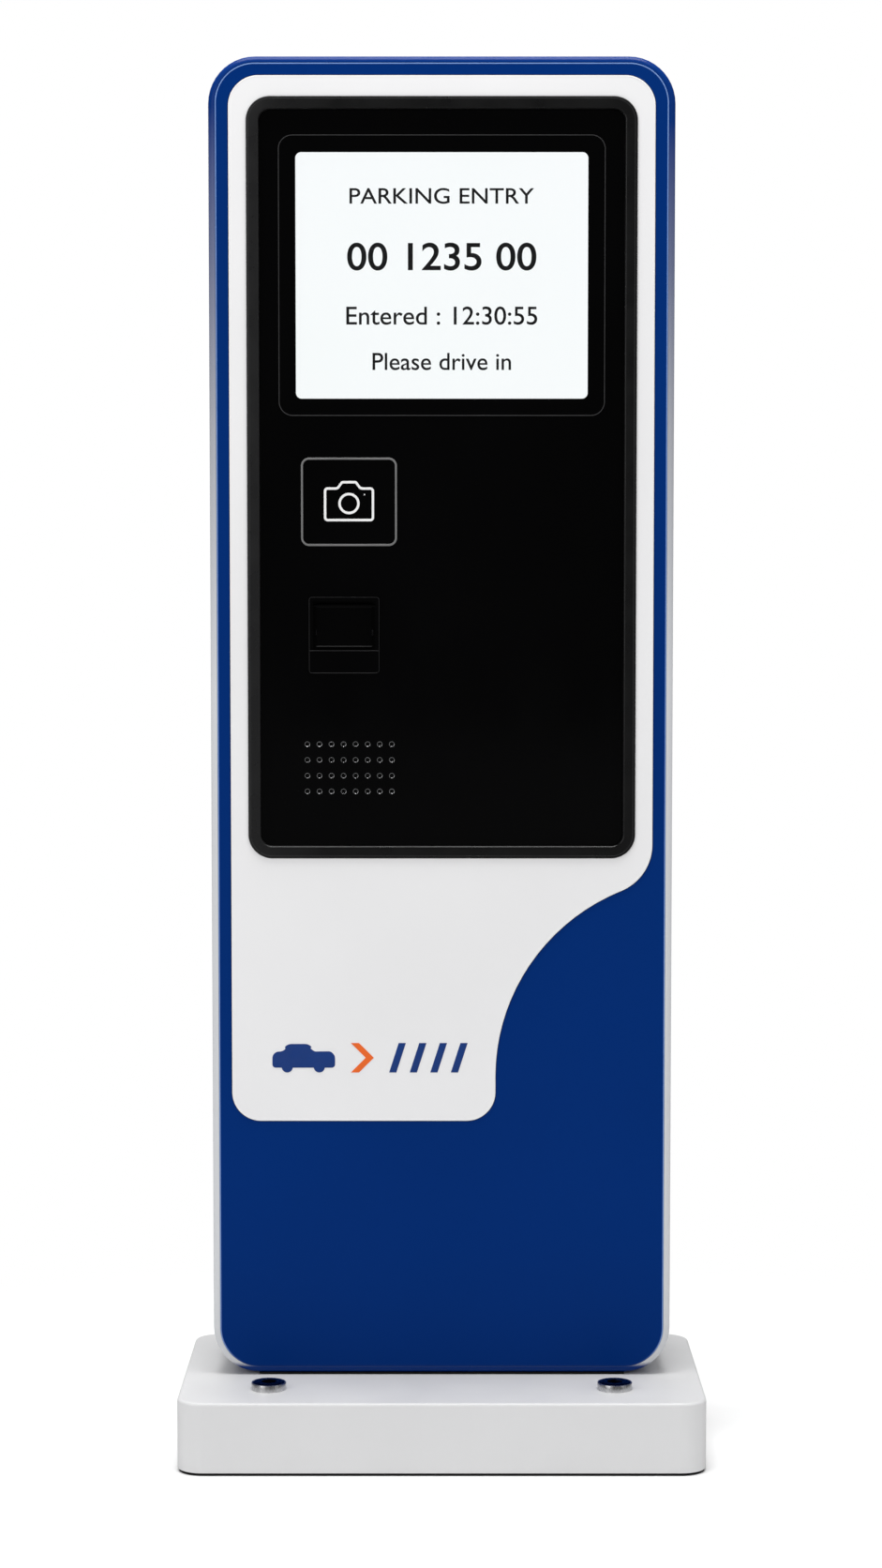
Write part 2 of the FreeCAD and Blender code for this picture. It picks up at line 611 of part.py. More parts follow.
def anchor_set():
    """Sleeves in the plinth, cup washers on it and the bolts through both."""
    sleeves, cups, bolts = [], [], []
    for x, y, seat in anchors():
        sleeves.append(tube("anchor_sleeve", "anchor_hole",
                            "plinth_tall - plinth_sheet", x, y, "0"))
        cup = rod("anchor_cup", "anchor_cup_tall", x, y, seat)
        recess = rod("anchor_head + 1", "anchor_cup_tall", x, y, seat + " + 2")
        bore = rod("anchor_hole", "anchor_cup_tall", x, y, seat)
        cups.append(cut(cup, recess, bore))
        head = rod("anchor_head", "anchor_cup_tall - 1", x, y, seat + " + 2")
        shank = rod("anchor_shank", seat + " + 2 - anchor_floor_gap", x, y,
                    "anchor_floor_gap")
        socket = hexagon("anchor_head * 0.42", "anchor_cup_tall", x, y, seat + " + 4")
        bolts.append(cut(join(head, shank), socket))
    keep(join(*sleeves), "anchor_sleeves")
    keep(join(*cups), "anchor_cups")
    keep(join(*bolts), "anchor_bolts")


def column_seal():
    """The black seal under the column, as long as the column's flat foot."""
    body = new_body("column_gasket", "0", "%s + column_deep / 2" % FRONT, "plinth_tall")
    outline = rectangle(sketch(body), "column_wide - 2 * column_corner",
                        "column_deep - 2 * joint_inset")
    pad(body, outline, "joint_thick")
    shift = "(%s + column_deep / 2)" % FRONT
    holes = sketch(body, level="joint_thick")
    circle(holes, "cable_hole", "0", "cable_set - " + shift)
    for x, y, seat in anchors():
        if "rear" in x:
            circle(holes, "anchor_hole", x, "%s - %s" % (y, shift))
    for x, y in ties():
        circle(holes, "tie_bolt + 1", x, "%s - %s" % (y, shift))
    pocket(body, holes, "joint_thick")


def tie_bolts():
    """Bolts from the column's floor into nuts under the plinth's top."""
    bolts, nuts = [], []
    under = "(plinth_tall - plinth_sheet)"
    floor = "(%s + column_sheet)" % BASE
    for x, y in ties():
        head = hexagon("tie_head", "tie_head_tall", x, y, floor)
        shank = rod("tie_bolt", "%s - %s + 9" % (floor, under), x, y, under + " - 9")
        bolts.append(join(head, shank))
        nut = hexagon("tie_head", "6.5", x, y, under + " - 6.5")
        nuts.append(cut(nut, rod("tie_bolt", "6.5", x, y, under + " - 6.5")))
    keep(join(*bolts), "column_bolts")
    keep(join(*nuts), "column_nuts")


def cable_grommet():
    """A rubber grommet through the column's floor and the plinth's top."""
    under = "(plinth_tall - plinth_sheet)"
    floor = "(%s + column_sheet)" % BASE
    neck = rod("cable_hole - 2 * seat_gap", "%s - %s" % (floor, under), "0", "cable_set",
               under)
    upper = rod("cable_flange", "cable_flange_thick", "0", "cable_set", floor)
    lower = rod("cable_flange", "cable_flange_thick", "0", "cable_set",
                under + " - cable_flange_thick")
    bore = rod("cable_bore", "%s - %s + 2 * cable_flange_thick" % (floor, under), "0",
               "cable_set", under + " - cable_flange_thick")
    keep(cut(join(neck, upper, lower), bore), "cable_grommet")


# ---------------------------------------------------------------- column
def column_outline(body, inset, level="0"):
    """The column's outline, moved inward."""
    return rounded(sketch(body, level=level), "column_wide - 2 * (%s)" % inset,
                   "column_tall - 2 * (%s)" % inset, "column_corner - (%s)" % inset)


def column_shell():
    """The steel column: a rolled front frame, plates and a flanged rear frame."""
    wrap_end = "(%s + front_return)" % FRONT
    front = new_body("column_front_frame", "0", wrap_end, MIDDLE, "front")
    pad(front, column_outline(front, "0"), "front_return")
    dress(front, "Fillet", at_level(now("front_return")), "edge_roll")
    pocket(front, column_outline(front, "edge_roll", "front_return"), "face_sheet")
    pocket(front, column_outline(front, "edge_roll + face_lip",
                                 "front_return - face_sheet"), "column_sheet + 1")
    cavity = "front_return - face_sheet - column_sheet"
    pocket(front, column_outline(front, "column_sheet", cavity), cavity + " + 1")
    start, length = wrap_end, "(column_deep - front_return - column_sheet)"
    column_plates(start, length)
    column_corners(start, length)
    rear = new_body("column_rear_frame", "0", REAR, MIDDLE, "front")
    pad(rear, column_outline(rear, "0"), "column_sheet")
    pocket(rear, column_outline(rear, "column_sheet + door_flange", "column_sheet"),
           "column_sheet + 1")


def column_plates(start, length):
    """The flat plates between the frames: two sides, the top and the floor."""
    tall = "column_tall - 2 * column_corner"
    sides = [block(sign + "(column_wide - column_sheet) / 2", start,
                   "%s + column_corner" % BASE, "column_sheet", length, tall)
             for sign in ("-", "")]
    keep(join(*sides), "column_sides")
    wide = "column_wide - 2 * column_corner"
    keep(block("0", start, "%s - column_sheet" % TOP, wide, length, "column_sheet"),
         "column_top")
    plate = block("0", start, BASE, wide, length, "column_sheet")
    holes = [rod("cable_hole", "column_sheet", "0", "cable_set", BASE)]
    holes += [rod("anchor_hole", "column_sheet", x, y, BASE)
              for x, y, seat in anchors() if "rear" in x]
    holes += [rod("tie_bolt + 1", "column_sheet", x, y, BASE) for x, y in ties()]
    keep(cut(plate, *holes), "column_floor")


def column_corners(start, length):
    """The four quarter-round corners that join those plates."""
    quarters = []
    for side in ("-", ""):
        for end, sign in ((BASE, "+"), (TOP, "-")):
            x = side + "(column_wide / 2 - column_corner)"
            z = "(%s %s column_corner)" % (end, sign)
            ring = tube("2 * column_corner", "2 * (column_corner - column_sheet)", length,
                        x, start, z, "rear")
            over = "(column_corner + 1)"
            inward = "+" if side else "-"
            beside = block("%s %s %s / 2" % (x, inward, over), start,
                           "%s - %s" % (z, over), over, length, "2 * " + over)
            foot = z if sign == "+" else "%s - %s" % (z, over)
            beyond = block(x, start, foot, "2 * " + over, length, over)
            quarters.append(cut(ring, beside, beyond))
    keep(join(*quarters), "column_corners")


def face_panel():
    """The blue face, dropped into the wrap's seat."""
    body = new_body("front_panel", "0", "%s + face_sheet" % FRONT, MIDDLE, "front")
    inset = "(edge_roll + face_gap)"
    pad(body, rounded(sketch(body), "column_wide - 2 * %s" % inset,
                      "column_tall - 2 * %s" % inset, "column_corner - %s" % inset),
        "face_sheet")
    window(body, "bezel_band - bezel_sleeve - seat_gap", "face_sheet", MIDDLE)


def window(body, inset, thick, level):
    """The opening behind the black frame, cut through a front panel."""
    hole = rounded(sketch(body, v="%s - %s" % (BEZEL_MIDDLE, level), level=thick),
                   "bezel_wide - 2 * (%s)" % inset, "bezel_tall - 2 * (%s)" % inset,
                   "bezel_corner - (%s)" % inset)
    pocket(body, hole, thick)


def overlay():
    """The white overlay: its lower right edge sweeps from a narrow foot out
    to the column's side, as a hollow arc and a shoulder arc."""
    foot = "(%s + overlay_foot)" % BASE
    body = new_body("front_overlay", "0", FRONT, foot, "front")
    made = sketch(body)
    side = now("column_wide / 2 - overlay_side")
    head = now("%s - overlay_head - %s" % (TOP, foot))
    corner, toe = now("overlay_corner"), now("overlay_toe")
    waist, rise = now("waist_side"), now("waist_rise")
    hollow, shoulder = now("sweep_hollow"), now("sweep_shoulder")
    hollow_x = waist + hollow
    shoulder_x = side - shoulder
    gap = hollow_x - shoulder_x
    shoulder_y = rise + math.sqrt((hollow + shoulder) ** 2 - gap ** 2)
    lean = math.degrees(math.atan2(shoulder_y - rise, gap))
    parts = [line(made, (toe - side, 0), (waist - toe, 0)),
             arc(made, (waist - toe, toe), toe, 270, 360),
             line(made, (waist, toe), (waist, rise)),
             arc(made, (hollow_x, rise), hollow, 180 - lean, 180),
             arc(made, (shoulder_x, shoulder_y), shoulder, -lean, 0),
             line(made, (side, shoulder_y), (side, head - corner)),
             arc(made, (side - corner, head - corner), corner, 0, 90),
             line(made, (side - corner, head), (corner - side, head)),
             arc(made, (corner - side, head - corner), corner, 90, 180),
             line(made, (-side, head - corner), (-side, toe)),
             arc(made, (toe - side, toe), toe, 180, 270)]
    ends = [(1, 2)] * len(parts)
    ends[3] = (2, 1)
    for first in range(len(parts)):
        after = (first + 1) % len(parts)
        made.addConstraint(Sketcher.Constraint("Tangent", parts[first], ends[first][1],
                                               parts[after], ends[after][0]))
    for index, kind in ((0, "Horizontal"), (2, "Vertical"), (5, "Vertical"),
                        (7, "Horizontal"), (9, "Vertical")):
        made.addConstraint(Sketcher.Constraint(kind, parts[index]))
    drive(made, "overlay_toe", "Radius", parts[1])
    drive(made, "overlay_toe", "Radius", parts[10])
    drive(made, "overlay_corner", "Radius", parts[6])
    drive(made, "overlay_corner", "Radius", parts[8])
    drive(made, "sweep_hollow", "Radius", parts[3])
    drive(made, "sweep_shoulder", "Radius", parts[4])
    made.addConstraint(Sketcher.Constraint("PointOnObject", parts[0], 1, -1))
    drive(made, "waist_side", "DistanceX", -1, 1, parts[2], 1)
    drive(made, "waist_rise", "DistanceY", -1, 1, parts[2], 2)
    drive(made, "column_wide / 2 - overlay_side", "DistanceX", -1, 1, parts[5], 1)
    drive(made, "column_wide - 2 * overlay_side", "DistanceX", parts[9], 1, parts[5], 1)
    drive(made, "%s - overlay_head - %s" % (TOP, foot), "DistanceY", -1, 1, parts[7], 1)
    pad(body, made, "overlay_thick")
    window(body, "bezel_band - bezel_sleeve - seat_gap", "overlay_thick", foot)


def side_rails():
    """Folded angles on both side walls, which carry the plates."""
    tall = "column_tall - rail_foot - rail_head"
    rails = []
    for sign in ("-", ""):
        wall = block("%s(%s - rail_sheet / 2)" % (sign, WALL),
                     PLATES + " - rail_leg", "%s + rail_foot" % BASE,
                     "rail_sheet", "rail_leg", tall)
        leg = block("%s(%s - rail_leg / 2)" % (sign, WALL),
                    PLATES + " - rail_sheet", "%s + rail_foot" % BASE,
                    "rail_leg", "rail_sheet", tall)
        rails.append(join(wall, leg))
    keep(join(*rails), "side_rails")


# ---------------------------------------------------------------- fascia
def bezel():
    """The black frame: a flat band over the overlay and a sleeve behind it."""
    body = new_body("bezel_frame", "0", "%s - overlay_thick" % FRONT, BEZEL_MIDDLE,
                    "front")
    pad(body, rounded(sketch(body), "bezel_wide", "bezel_tall", "bezel_corner"),
        "bezel_proud")
    sleeve = "(bezel_band - bezel_sleeve)"
    depth = "(fascia_set + fascia_thick - bezel_proud)"
    pad(body, rounded(sketch(body, level="-" + depth), "bezel_wide - 2 * " + sleeve,
                      "bezel_tall - 2 * " + sleeve, "bezel_corner - " + sleeve), depth)
    dress(body, "Fillet", at_level(now("bezel_proud")), "bezel_proud * 0.6")
    pocket(body, rounded(sketch(body, level="bezel_proud"), "bezel_wide - 2 * bezel_band",
                         "bezel_tall - 2 * bezel_band", "bezel_corner - bezel_band"),
           "fascia_set + fascia_thick")


def fascia():
    """The gloss fascia with its openings and the speaker grille."""
    body = new_body("fascia_panel", "0", FASCIA_BACK, BEZEL_MIDDLE, "front")
    inset = "(bezel_band + face_gap)"
    pad(body, rounded(sketch(body), "bezel_wide - 2 * " + inset,
                      "bezel_tall - 2 * " + inset, "bezel_corner - " + inset),
        "fascia_thick")
    half = "bezel_tall / 2 - "
    front = "fascia_thick"
    holes = sketch(body, "-grille_side", half + "grille_drop", front)
    columns, rows = int(now("grille_columns")), int(now("grille_rows"))
    for column in range(columns):
        for row in range(rows):
            circle(holes, "grille_hole",
                   "grille_step * (%d - (grille_columns - 1) / 2)" % column,
                   "grille_fall * (%d - (grille_rows - 1) / 2)" % row)
    pocket(body, holes, "fascia_thick")
    small = now("grille_hole") + 0.01

    def grille_rim(edge):
        box = edge.BoundBox
        return abs(box.ZMin - now(front)) < 1e-4 and box.ZLength < 1e-4 and \
            box.XLength < small and box.YLength < small
    dress(body, "Chamfer", grille_rim, "grille_sink")
    pocket(body, rounded(sketch(body, v=half + "screen_drop", level=front),
                         "screen_wide + 2 * glass_lap + 2 * face_gap",
                         "screen_tall + 2 * glass_lap + 2 * face_gap",
                         "screen_corner + glass_lap"), "fascia_thick")
    pocket(body, rounded(sketch(body, "-camera_side", half + "camera_drop", front),
                         "camera_wide - 2 * camera_line + 2 * face_gap",
                         "camera_tall - 2 * camera_line + 2 * face_gap",
                         "camera_corner - camera_line + face_gap"), "fascia_thick")
    pocket(body, rounded(sketch(body, "-ticket_side", half + "ticket_drop", front),
                         "pocket_wide + 2 * pocket_wall + 2 * face_gap",
                         "ticket_tall - 2 * ticket_corner + 3", "2"), "fascia_thick")
    pocket(body, circle(sketch(body, v=half + "sensor_drop", level=front),
                        "sensor_wide + 2 * running_gap"), "fascia_thick")


def display():
    """Surround, cover glass, display module and the tray behind it."""
    middle = "(%s - bezel_drop - screen_drop)" % TOP
    rim = new_body("display_rim", "0", FASCIA, middle, "front")
    pad(rim, rounded(sketch(rim), "rim_wide", "rim_tall", "rim_corner"), "rim_thick")
    dress(rim, "Fillet", at_level(now("rim_thick")), "rim_thick * 0.7")
    pocket(rim, rounded(sketch(rim, level="rim_thick"), "screen_wide", "screen_tall",
                        "screen_corner"), "rim_thick")
    glass = new_body("display_glass", "0", FASCIA + " + glass_thick", middle, "front")
    pad(glass, rounded(sketch(glass), "screen_wide + 2 * glass_lap",
                       "screen_tall + 2 * glass_lap", "screen_corner + glass_lap"),
        "glass_thick")
    lcd = new_body("lcd_panel", "0", FASCIA_BACK + " + lcd_thick", middle, "front")
    pad(lcd, rounded(sketch(lcd), "screen_wide + 2 * lcd_border",
                     "screen_tall + 2 * lcd_border", "2"), "lcd_thick")
    tray = new_body("display_tray", "0", FASCIA_BACK + " + tray_deep", middle, "front")
    wide = "(screen_wide + 2 * lcd_border + 2 * face_gap)"
    tall = "(screen_tall + 2 * lcd_border + 2 * face_gap)"
    pad(tray, rounded(sketch(tray), wide + " + 2 * tray_sheet", tall + " + 2 * tray_sheet",
                      "4"), "tray_deep")
    pocket(tray, rounded(sketch(tray, level="tray_deep"), wide, tall, "2.5"),
           "tray_deep - tray_sheet")
    sensor = new_body("sensor_lens", "0", FASCIA_BACK, "%s - bezel_drop - sensor_drop" % TOP,
                      "front")
    pad(sensor, circle(sketch(sensor), "sensor_wide"), "fascia_thick + 0.5")
    dress(sensor, "Fillet", at_level(now("fascia_thick") + 0.5), "0.4")


def camera():
    """Surround and window of the camera, and the camera behind it."""
    middle = "(%s - bezel_drop - camera_drop)" % TOP
    ring = new_body("camera_surround", "-camera_side", FASCIA, middle, "front")
    pad(ring, rounded(sketch(ring), "camera_wide", "camera_tall", "camera_corner"),
        "camera_proud")
    dress(ring, "Fillet", at_level(now("camera_proud")), "camera_proud / 2")
    line_in = "camera_line + 0.4"
    pocket(ring, rounded(sketch(ring, level="camera_proud"),
                         "camera_wide - 2 * (%s)" % line_in,
                         "camera_tall - 2 * (%s)" % line_in,
                         "camera_corner - (%s)" % line_in), "camera_proud")
    pane = new_body("camera_window", "-camera_side", FASCIA + " + camera_glass", middle,
                    "front")
    pad(pane, rounded(sketch(pane), "camera_wide - 2 * camera_line",
                      "camera_tall - 2 * camera_line", "camera_corner - camera_line"),
        "camera_glass")
    housing = block("-camera_side", FASCIA_BACK, middle + " - 42", "60", "26", "60")
    barrel = rod("22", "fascia_thick - camera_glass - seat_gap", "-camera_side",
                 FASCIA_BACK, middle, "front")
    keep(join(housing, barrel), "camera_module")


def ticket_mouth():
    """Mouth with its pocket, the hanging flap, its pin and the chute."""
    body = new_body("ticket_bezel", "-ticket_side", FASCIA, TICKET_Z, "front")
    pad(body, rounded(sketch(body), "ticket_wide", "ticket_tall", "ticket_corner"),
        "ticket_proud")
    dress(body, "Fillet", at_level(now("ticket_proud")), "0.8")
    deep = "pocket_deep"
    up = "(ticket_tall / 2 - pocket_head - pocket_tall / 2)"
    pad(body, rounded(sketch(body, v=up, level="-" + deep), "pocket_wide + 2 * pocket_wall",
                      "pocket_tall + 2 * pocket_wall", "1.8"), deep)
    pocket(body, rounded(sketch(body, v=up, level="ticket_proud"), "pocket_wide",
                         "pocket_tall", "1"), deep + " + ticket_proud - pocket_wall")
    pocket(body, rounded(sketch(body, v="slot_rise", level="pocket_wall - " + deep),
                         "slot_wide", "slot_tall", "1"), "pocket_wall")
    pin_hole = rod("flap_pin", "pocket_wide + 2 * pocket_wall",
                   "-ticket_side - pocket_wide / 2 - pocket_wall", FLAP_Y, FLAP_Z, "right")
    KEPT.remove(body)
    body.Label = "ticket_mouth_blank"
    keep(cut(body, pin_hole), "ticket_bezel")
    keep(rod("flap_pin", "pocket_wide + 2 * pocket_wall",
             "-ticket_side - pocket_wide / 2 - pocket_wall", FLAP_Y, FLAP_Z, "right"),
         "flap_pin")
    plate = block("-ticket_side", FLAP_Y + " - flap_thick / 2", FLAP_Z + " - flap_tall",
                  "flap_wide", "flap_thick", "flap_tall")
    barrel = rod("flap_barrel", "flap_wide", "-ticket_side - flap_wide / 2", FLAP_Y,
                 FLAP_Z, "right")
    hem = rod("flap_thick * 1.6", "flap_wide", "-ticket_side - flap_wide / 2", FLAP_Y,
              FLAP_Z + " - flap_tall", "right")
    bore = rod("flap_pin + 2 * running_gap", "flap_wide + 2",
               "-ticket_side - flap_wide / 2 - 1", FLAP_Y, FLAP_Z, "right")
    keep(cut(join(plate, barrel, hem), bore), "ticket_flap")
    chute_y = "(%s + pocket_deep)" % FASCIA
    chute_z = "(%s + slot_rise)" % TICKET_Z
    outer = block("-ticket_side", chute_y, chute_z + " - slot_tall / 2 - 1.5",
                  "slot_wide + 3", "8", "slot_tall + 3")
    inner = block("-ticket_side", chute_y, chute_z + " - slot_tall / 2", "slot_wide", "8",
                  "slot_tall")
    keep(cut(outer, inner), "ticket_chute")


def speaker():
    """Mesh behind the grille and the speaker behind the mesh."""
    middle = "(%s - bezel_drop - grille_drop)" % TOP
    keep(block("-grille_side", FASCIA_BACK,
               middle + " - grille_fall * grille_rows / 2 - 6",
               "grille_step * grille_columns + 12", "mesh_thick",
               "grille_fall * grille_rows + 12"), "speaker_mesh")
    y = "(%s + mesh_thick)" % FASCIA_BACK
    flange = tube("speaker_across", "speaker_across - 16", "2.5", "-grille_side", y, middle,
                  "rear")
    basket = doc.addObject("Part::Cone", "basket")
    tie(basket, "Radius1", "speaker_across / 2 - 5")
    tie(basket, "Radius2", "speaker_across / 4")
    tie(basket, "Height", "speaker_deep - 12")
    place(basket, "-grille_side", y, middle, "rear")
    cone = doc.addObject("Part::Cone", "cone")
    tie(cone, "Radius1", "speaker_across / 2 - 6.5")
    tie(cone, "Radius2", "4")
    tie(cone, "Height", "speaker_deep - 16")
    place(cone, "-grille_side", y, middle, "rear")
    magnet = rod("speaker_across / 2 + 6", "12", "-grille_side",
                 y + " + speaker_deep - 12", middle, "rear")
    keep(cut(join(flange, basket, magnet), cone), "speaker_driver")


# ---------------------------------------------------------------- printer
def printer_shelf():
    """The folded shelf: its flange hangs on the left side rail."""
    right_end = "(shelf_wide / 2 + rail_leg + seat_gap - %s)" % WALL
    top = block(right_end, CHEEK_FRONT, SHELF, "shelf_wide", "shelf_deep", "shelf_sheet")
    flange = block("(shelf_wide + rail_leg) / 2 - %s" % WALL, PLATES,
                   SHELF + " - shelf_drop", "shelf_wide + rail_leg", "shelf_sheet",
                   "shelf_drop + shelf_sheet")
    slot = block("-" + WALL, PLATES, SHELF, "2 * rail_leg + 2 * seat_gap", "shelf_sheet",
                 "shelf_sheet")
    keep(join(top, cut(flange, slot)), "printer_shelf")


def printer_frame():
    """Two cheeks on a base, with the seats of every shaft, and the guides
    of the cutter blade."""
    foot = "(%s + shelf_sheet)" % SHELF
    outer = "(printer_inside + 2 * cheek_sheet)"
    base = block("-ticket_side", CHEEK_FRONT, foot, outer, "cheek_deep", "cheek_sheet")
    pieces = [base]
    for sign in ("-", "+"):
        x = "(-ticket_side %s (printer_inside + cheek_sheet) / 2)" % sign
        pieces.append(block(x, CHEEK_FRONT, foot, "cheek_sheet", "cheek_deep",
                            "cheek_tall"))
        guide = "(-ticket_side %s (printer_inside / 2 - 2.5))" % sign
        pieces.append(block(guide, CHEEK_FRONT, foot, "5", "5", "cheek_tall - 4"))
    groove = block("-ticket_side", CHEEK_FRONT + " + 1.5", foot + " + cheek_sheet",
                   "blade_wide + 2 * running_gap", "blade_thick + 2 * running_gap",
                   "cheek_tall")
    start = "-ticket_side - %s / 2" % outer
    holes = [rod("platen_shaft + 2 * running_gap", outer, start, PLATEN_Y, PLATEN_Z,
                 "right"),
             rod("spindle_across", outer, start, ROLL_Y, ROLL_Z, "right"),
             rod("motor_shaft + 2 * running_gap", "cheek_sheet", start, PLATEN_Y, PINION_Z,
                 "right")]
    keep(cut(join(*pieces), groove, *holes), "printer_frame")


def gear_blank(name, teeth, twist):
    """A spur gear face: straight-flanked teeth, slightly thin for play."""
    module, count = now("gear_module"), int(now(teeth))
    pitch = module * count / 2
    levels = ((pitch - 1.25 * module, 0.66), (pitch + 0.95 * module, 0.26))
    points = []
    for tooth in range(count):
        middle = 2 * math.pi * (tooth + twist) / count
        for side, order in ((-1, levels), (1, levels[::-1])):
            for radius, share in order:
                turn = middle + side * share * math.pi / count
                points.append(FreeCAD.Vector(radius * math.cos(turn),
                                             radius * math.sin(turn), 0))
    wire = Part.makePolygon(points + points[:1])
    made = doc.addObject("Part::Feature", name)
    made.Shape = Part.Face(wire).extrude(FreeCAD.Vector(0, 0, now("gear_wide")))
    return made


def platen():
    """Rubber platen on its shaft, with the gear outside the left cheek, and
    the motor that drives it through a pinion."""
    left = "(-ticket_side - printer_inside / 2 - cheek_sheet)"
    length = "(printer_inside - 4)"
    keep(join(rod("platen_across", length, "-ticket_side - %s / 2" % length, PLATEN_Y,
                  PLATEN_Z, "right"),
              rod("platen_shaft", "printer_inside + 2 * cheek_sheet + gear_wide + 3",
                  left + " - gear_wide - 1.5", PLATEN_Y, PLATEN_Z, "right")),
         "platen_roller")
    gear_x = left + " - gear_wide - 1"
    wheel = place(gear_blank("gear_blank", "platen_teeth", 0), gear_x, PLATEN_Y, PLATEN_Z,
                  "right")
    keep(cut(wheel, rod("platen_shaft", "gear_wide", gear_x, PLATEN_Y, PLATEN_Z, "right")),
         "platen_gear")
    small = place(gear_blank("pinion_blank", "pinion_teeth", 0.5), gear_x, PLATEN_Y,
                  PINION_Z, "right")
    shaft = rod("motor_shaft", "gear_wide + cheek_sheet + 4", gear_x + " - 1", PLATEN_Y,
                PINION_Z, "right")
    keep(join(small, shaft), "motor_pinion")
    can = rod("motor_across", "motor_long", left + " + cheek_sheet", PLATEN_Y, PINION_Z,
              "right")
    well = rod("motor_shaft + 2 * running_gap", "4", left + " + cheek_sheet", PLATEN_Y,
               PINION_Z, "right")
    keep(cut(can, well), "feed_motor")
    keep(block("-ticket_side", PLATEN_Y + " + platen_across / 2 + seat_gap",
               PLATEN_Z + " - 7", "printer_inside", "4", "14"), "print_head")


def paper():
    """The paper roll on its fixed spindle."""
    outer = "(printer_inside + 2 * cheek_sheet)"
    keep(rod("spindle_across", outer, "-ticket_side - %s / 2" % outer, ROLL_Y, ROLL_Z,
             "right"), "roll_spindle")
    keep(tube("roll_across", "spindle_across + 2 * running_gap", "roll_wide",
              "-ticket_side - roll_wide / 2", ROLL_Y, ROLL_Z, "right"), "paper_roll")


def cutter():
    """The guillotine blade, at rest below the ticket's path."""
    path = "(%s + slot_rise)" % TICKET_Z
    keep(block("-ticket_side", CHEEK_FRONT + " + 1.5 + running_gap",
               path + " - 1.5 - blade_tall", "blade_wide", "blade_thick", "blade_tall"),
         "cutter_blade")


def lid():
    """The printer's lid, hinged on a pin along the cheeks' rear corner."""
    outer = "(printer_inside + 2 * cheek_sheet)"
    start = "-ticket_side - %s / 2" % outer
    ears = []
    for side in ("-ticket_side - (%s - 6) / 2" % outer,
                 "-ticket_side + (%s - 6) / 2" % outer):
        ears.append(block(side, LID_Y + " - lid_barrel / 2",
                          "%s + shelf_sheet + cheek_tall" % SHELF, "6", "lid_barrel",
                          "lid_barrel + seat_gap"))
    pin_bore = rod("lid_pin", outer, start, LID_Y, LID_Z, "right")
    keep(cut(join(*ears), pin_bore), "lid_ears")
    keep(rod("lid_pin", outer, start, LID_Y, LID_Z, "right"), "lid_hinge_pin")
    inside = "(%s - 13)" % outer
    barrel = rod("lid_barrel", inside, "-ticket_side - %s / 2" % inside, LID_Y, LID_Z,
                 "right")
    sheet_z = LID_Z + " - lid_sheet / 2"
    neck = block("-ticket_side", LID_Y + " - lid_barrel / 2 - 4", sheet_z, inside,
                 "lid_barrel / 2 + 4", "lid_sheet")
    plate = block("-ticket_side", LID_Y + " - lid_long", sheet_z, outer,
                  "lid_long - lid_barrel / 2 - 2", "lid_sheet")
    lip = block("-ticket_side", LID_Y + " - lid_long", sheet_z, outer, "lid_sheet", "9")
    bore = rod("lid_pin + 2 * running_gap", inside, "-ticket_side - %s / 2" % inside,
               LID_Y, LID_Z, "right")
    keep(cut(join(barrel, neck, plate, lip), bore), "printer_lid")


# ---------------------------------------------------------------- equipment
def plates():
    """Upper and lower equipment plates on the rails, with what they carry."""
    upper = "(%s - upper_plate_drop - upper_plate_tall)" % TOP
    lower = "(%s + lower_plate_rise)" % BASE
    keep(block("0", PLATES, upper, "plate_wide", "plate_sheet", "upper_plate_tall"),
         "control_plate")
    keep(block("0", PLATES, lower, "plate_wide", "plate_sheet", "lower_plate_tall"),
         "power_plate")
    back = "(%s + plate_sheet)" % PLATES
    posts = []
    for across in ("-", "+"):
        for up in ("-", "+"):
            posts.append(rod("6", "standoff_tall",
                             "-board_side %s (board_wide / 2 - 6)" % across, back,
                             "board_rise %s (board_tall / 2 - 6)" % up, "rear"))
    keep(join(*posts), "board_standoffs")
    board_y = "(%s + standoff_tall)" % back
    board = block("-board_side", board_y, "board_rise - board_tall / 2", "board_wide",
                  "board_thick", "board_tall")
    chips_y = board_y + " + board_thick"
    parts = [block("-board_side - 30", chips_y, "board_rise - 15", "34", "3", "34"),
             block("-board_side + 25", chips_y, "board_rise - 20", "22", "2.5", "40"),
             block("-board_side - 20", chips_y, "board_rise - 62", "110", "9", "12"),
             block("-board_side + 60", chips_y, "board_rise - 60", "44", "13", "16"),
             block("-board_side + 10", chips_y, "board_rise + 50", "130", "11", "12"),
             rod("10", "16", "-board_side + 70", chips_y, "board_rise + 10", "rear"),
             rod("10", "16", "-board_side + 70", chips_y, "board_rise - 14", "rear")]
    keep(join(board, *parts), "control_board")
    supply = block("-supply_side", back, lower + " + 60", "supply_wide", "supply_deep",
                   "supply_tall")
    strip = block("-supply_side", back, lower + " + 46", "supply_wide - 10",
                  "supply_deep / 2", "14")
    keep(join(supply, strip), "power_supply")
    web = block("din_side", back, "din_rise - din_tall / 2 + 4", "din_long", "1.2",
                "din_tall - 8")
    wings = []
    for sign in ("-", "+"):
        edge = "din_rise %s (din_tall / 2 - 4.5) - 0.5" % sign
        wings.append(block("din_side", back, edge, "din_long", "din_deep", "1"))
        outer = "din_rise %s (din_tall / 2 - 2.5) - 2.5" % sign
        wings.append(block("din_side", back + " + din_deep - 1", outer, "din_long", "1",
                           "5"))
    keep(join(web, *wings), "din_rail")
    breaker(back)


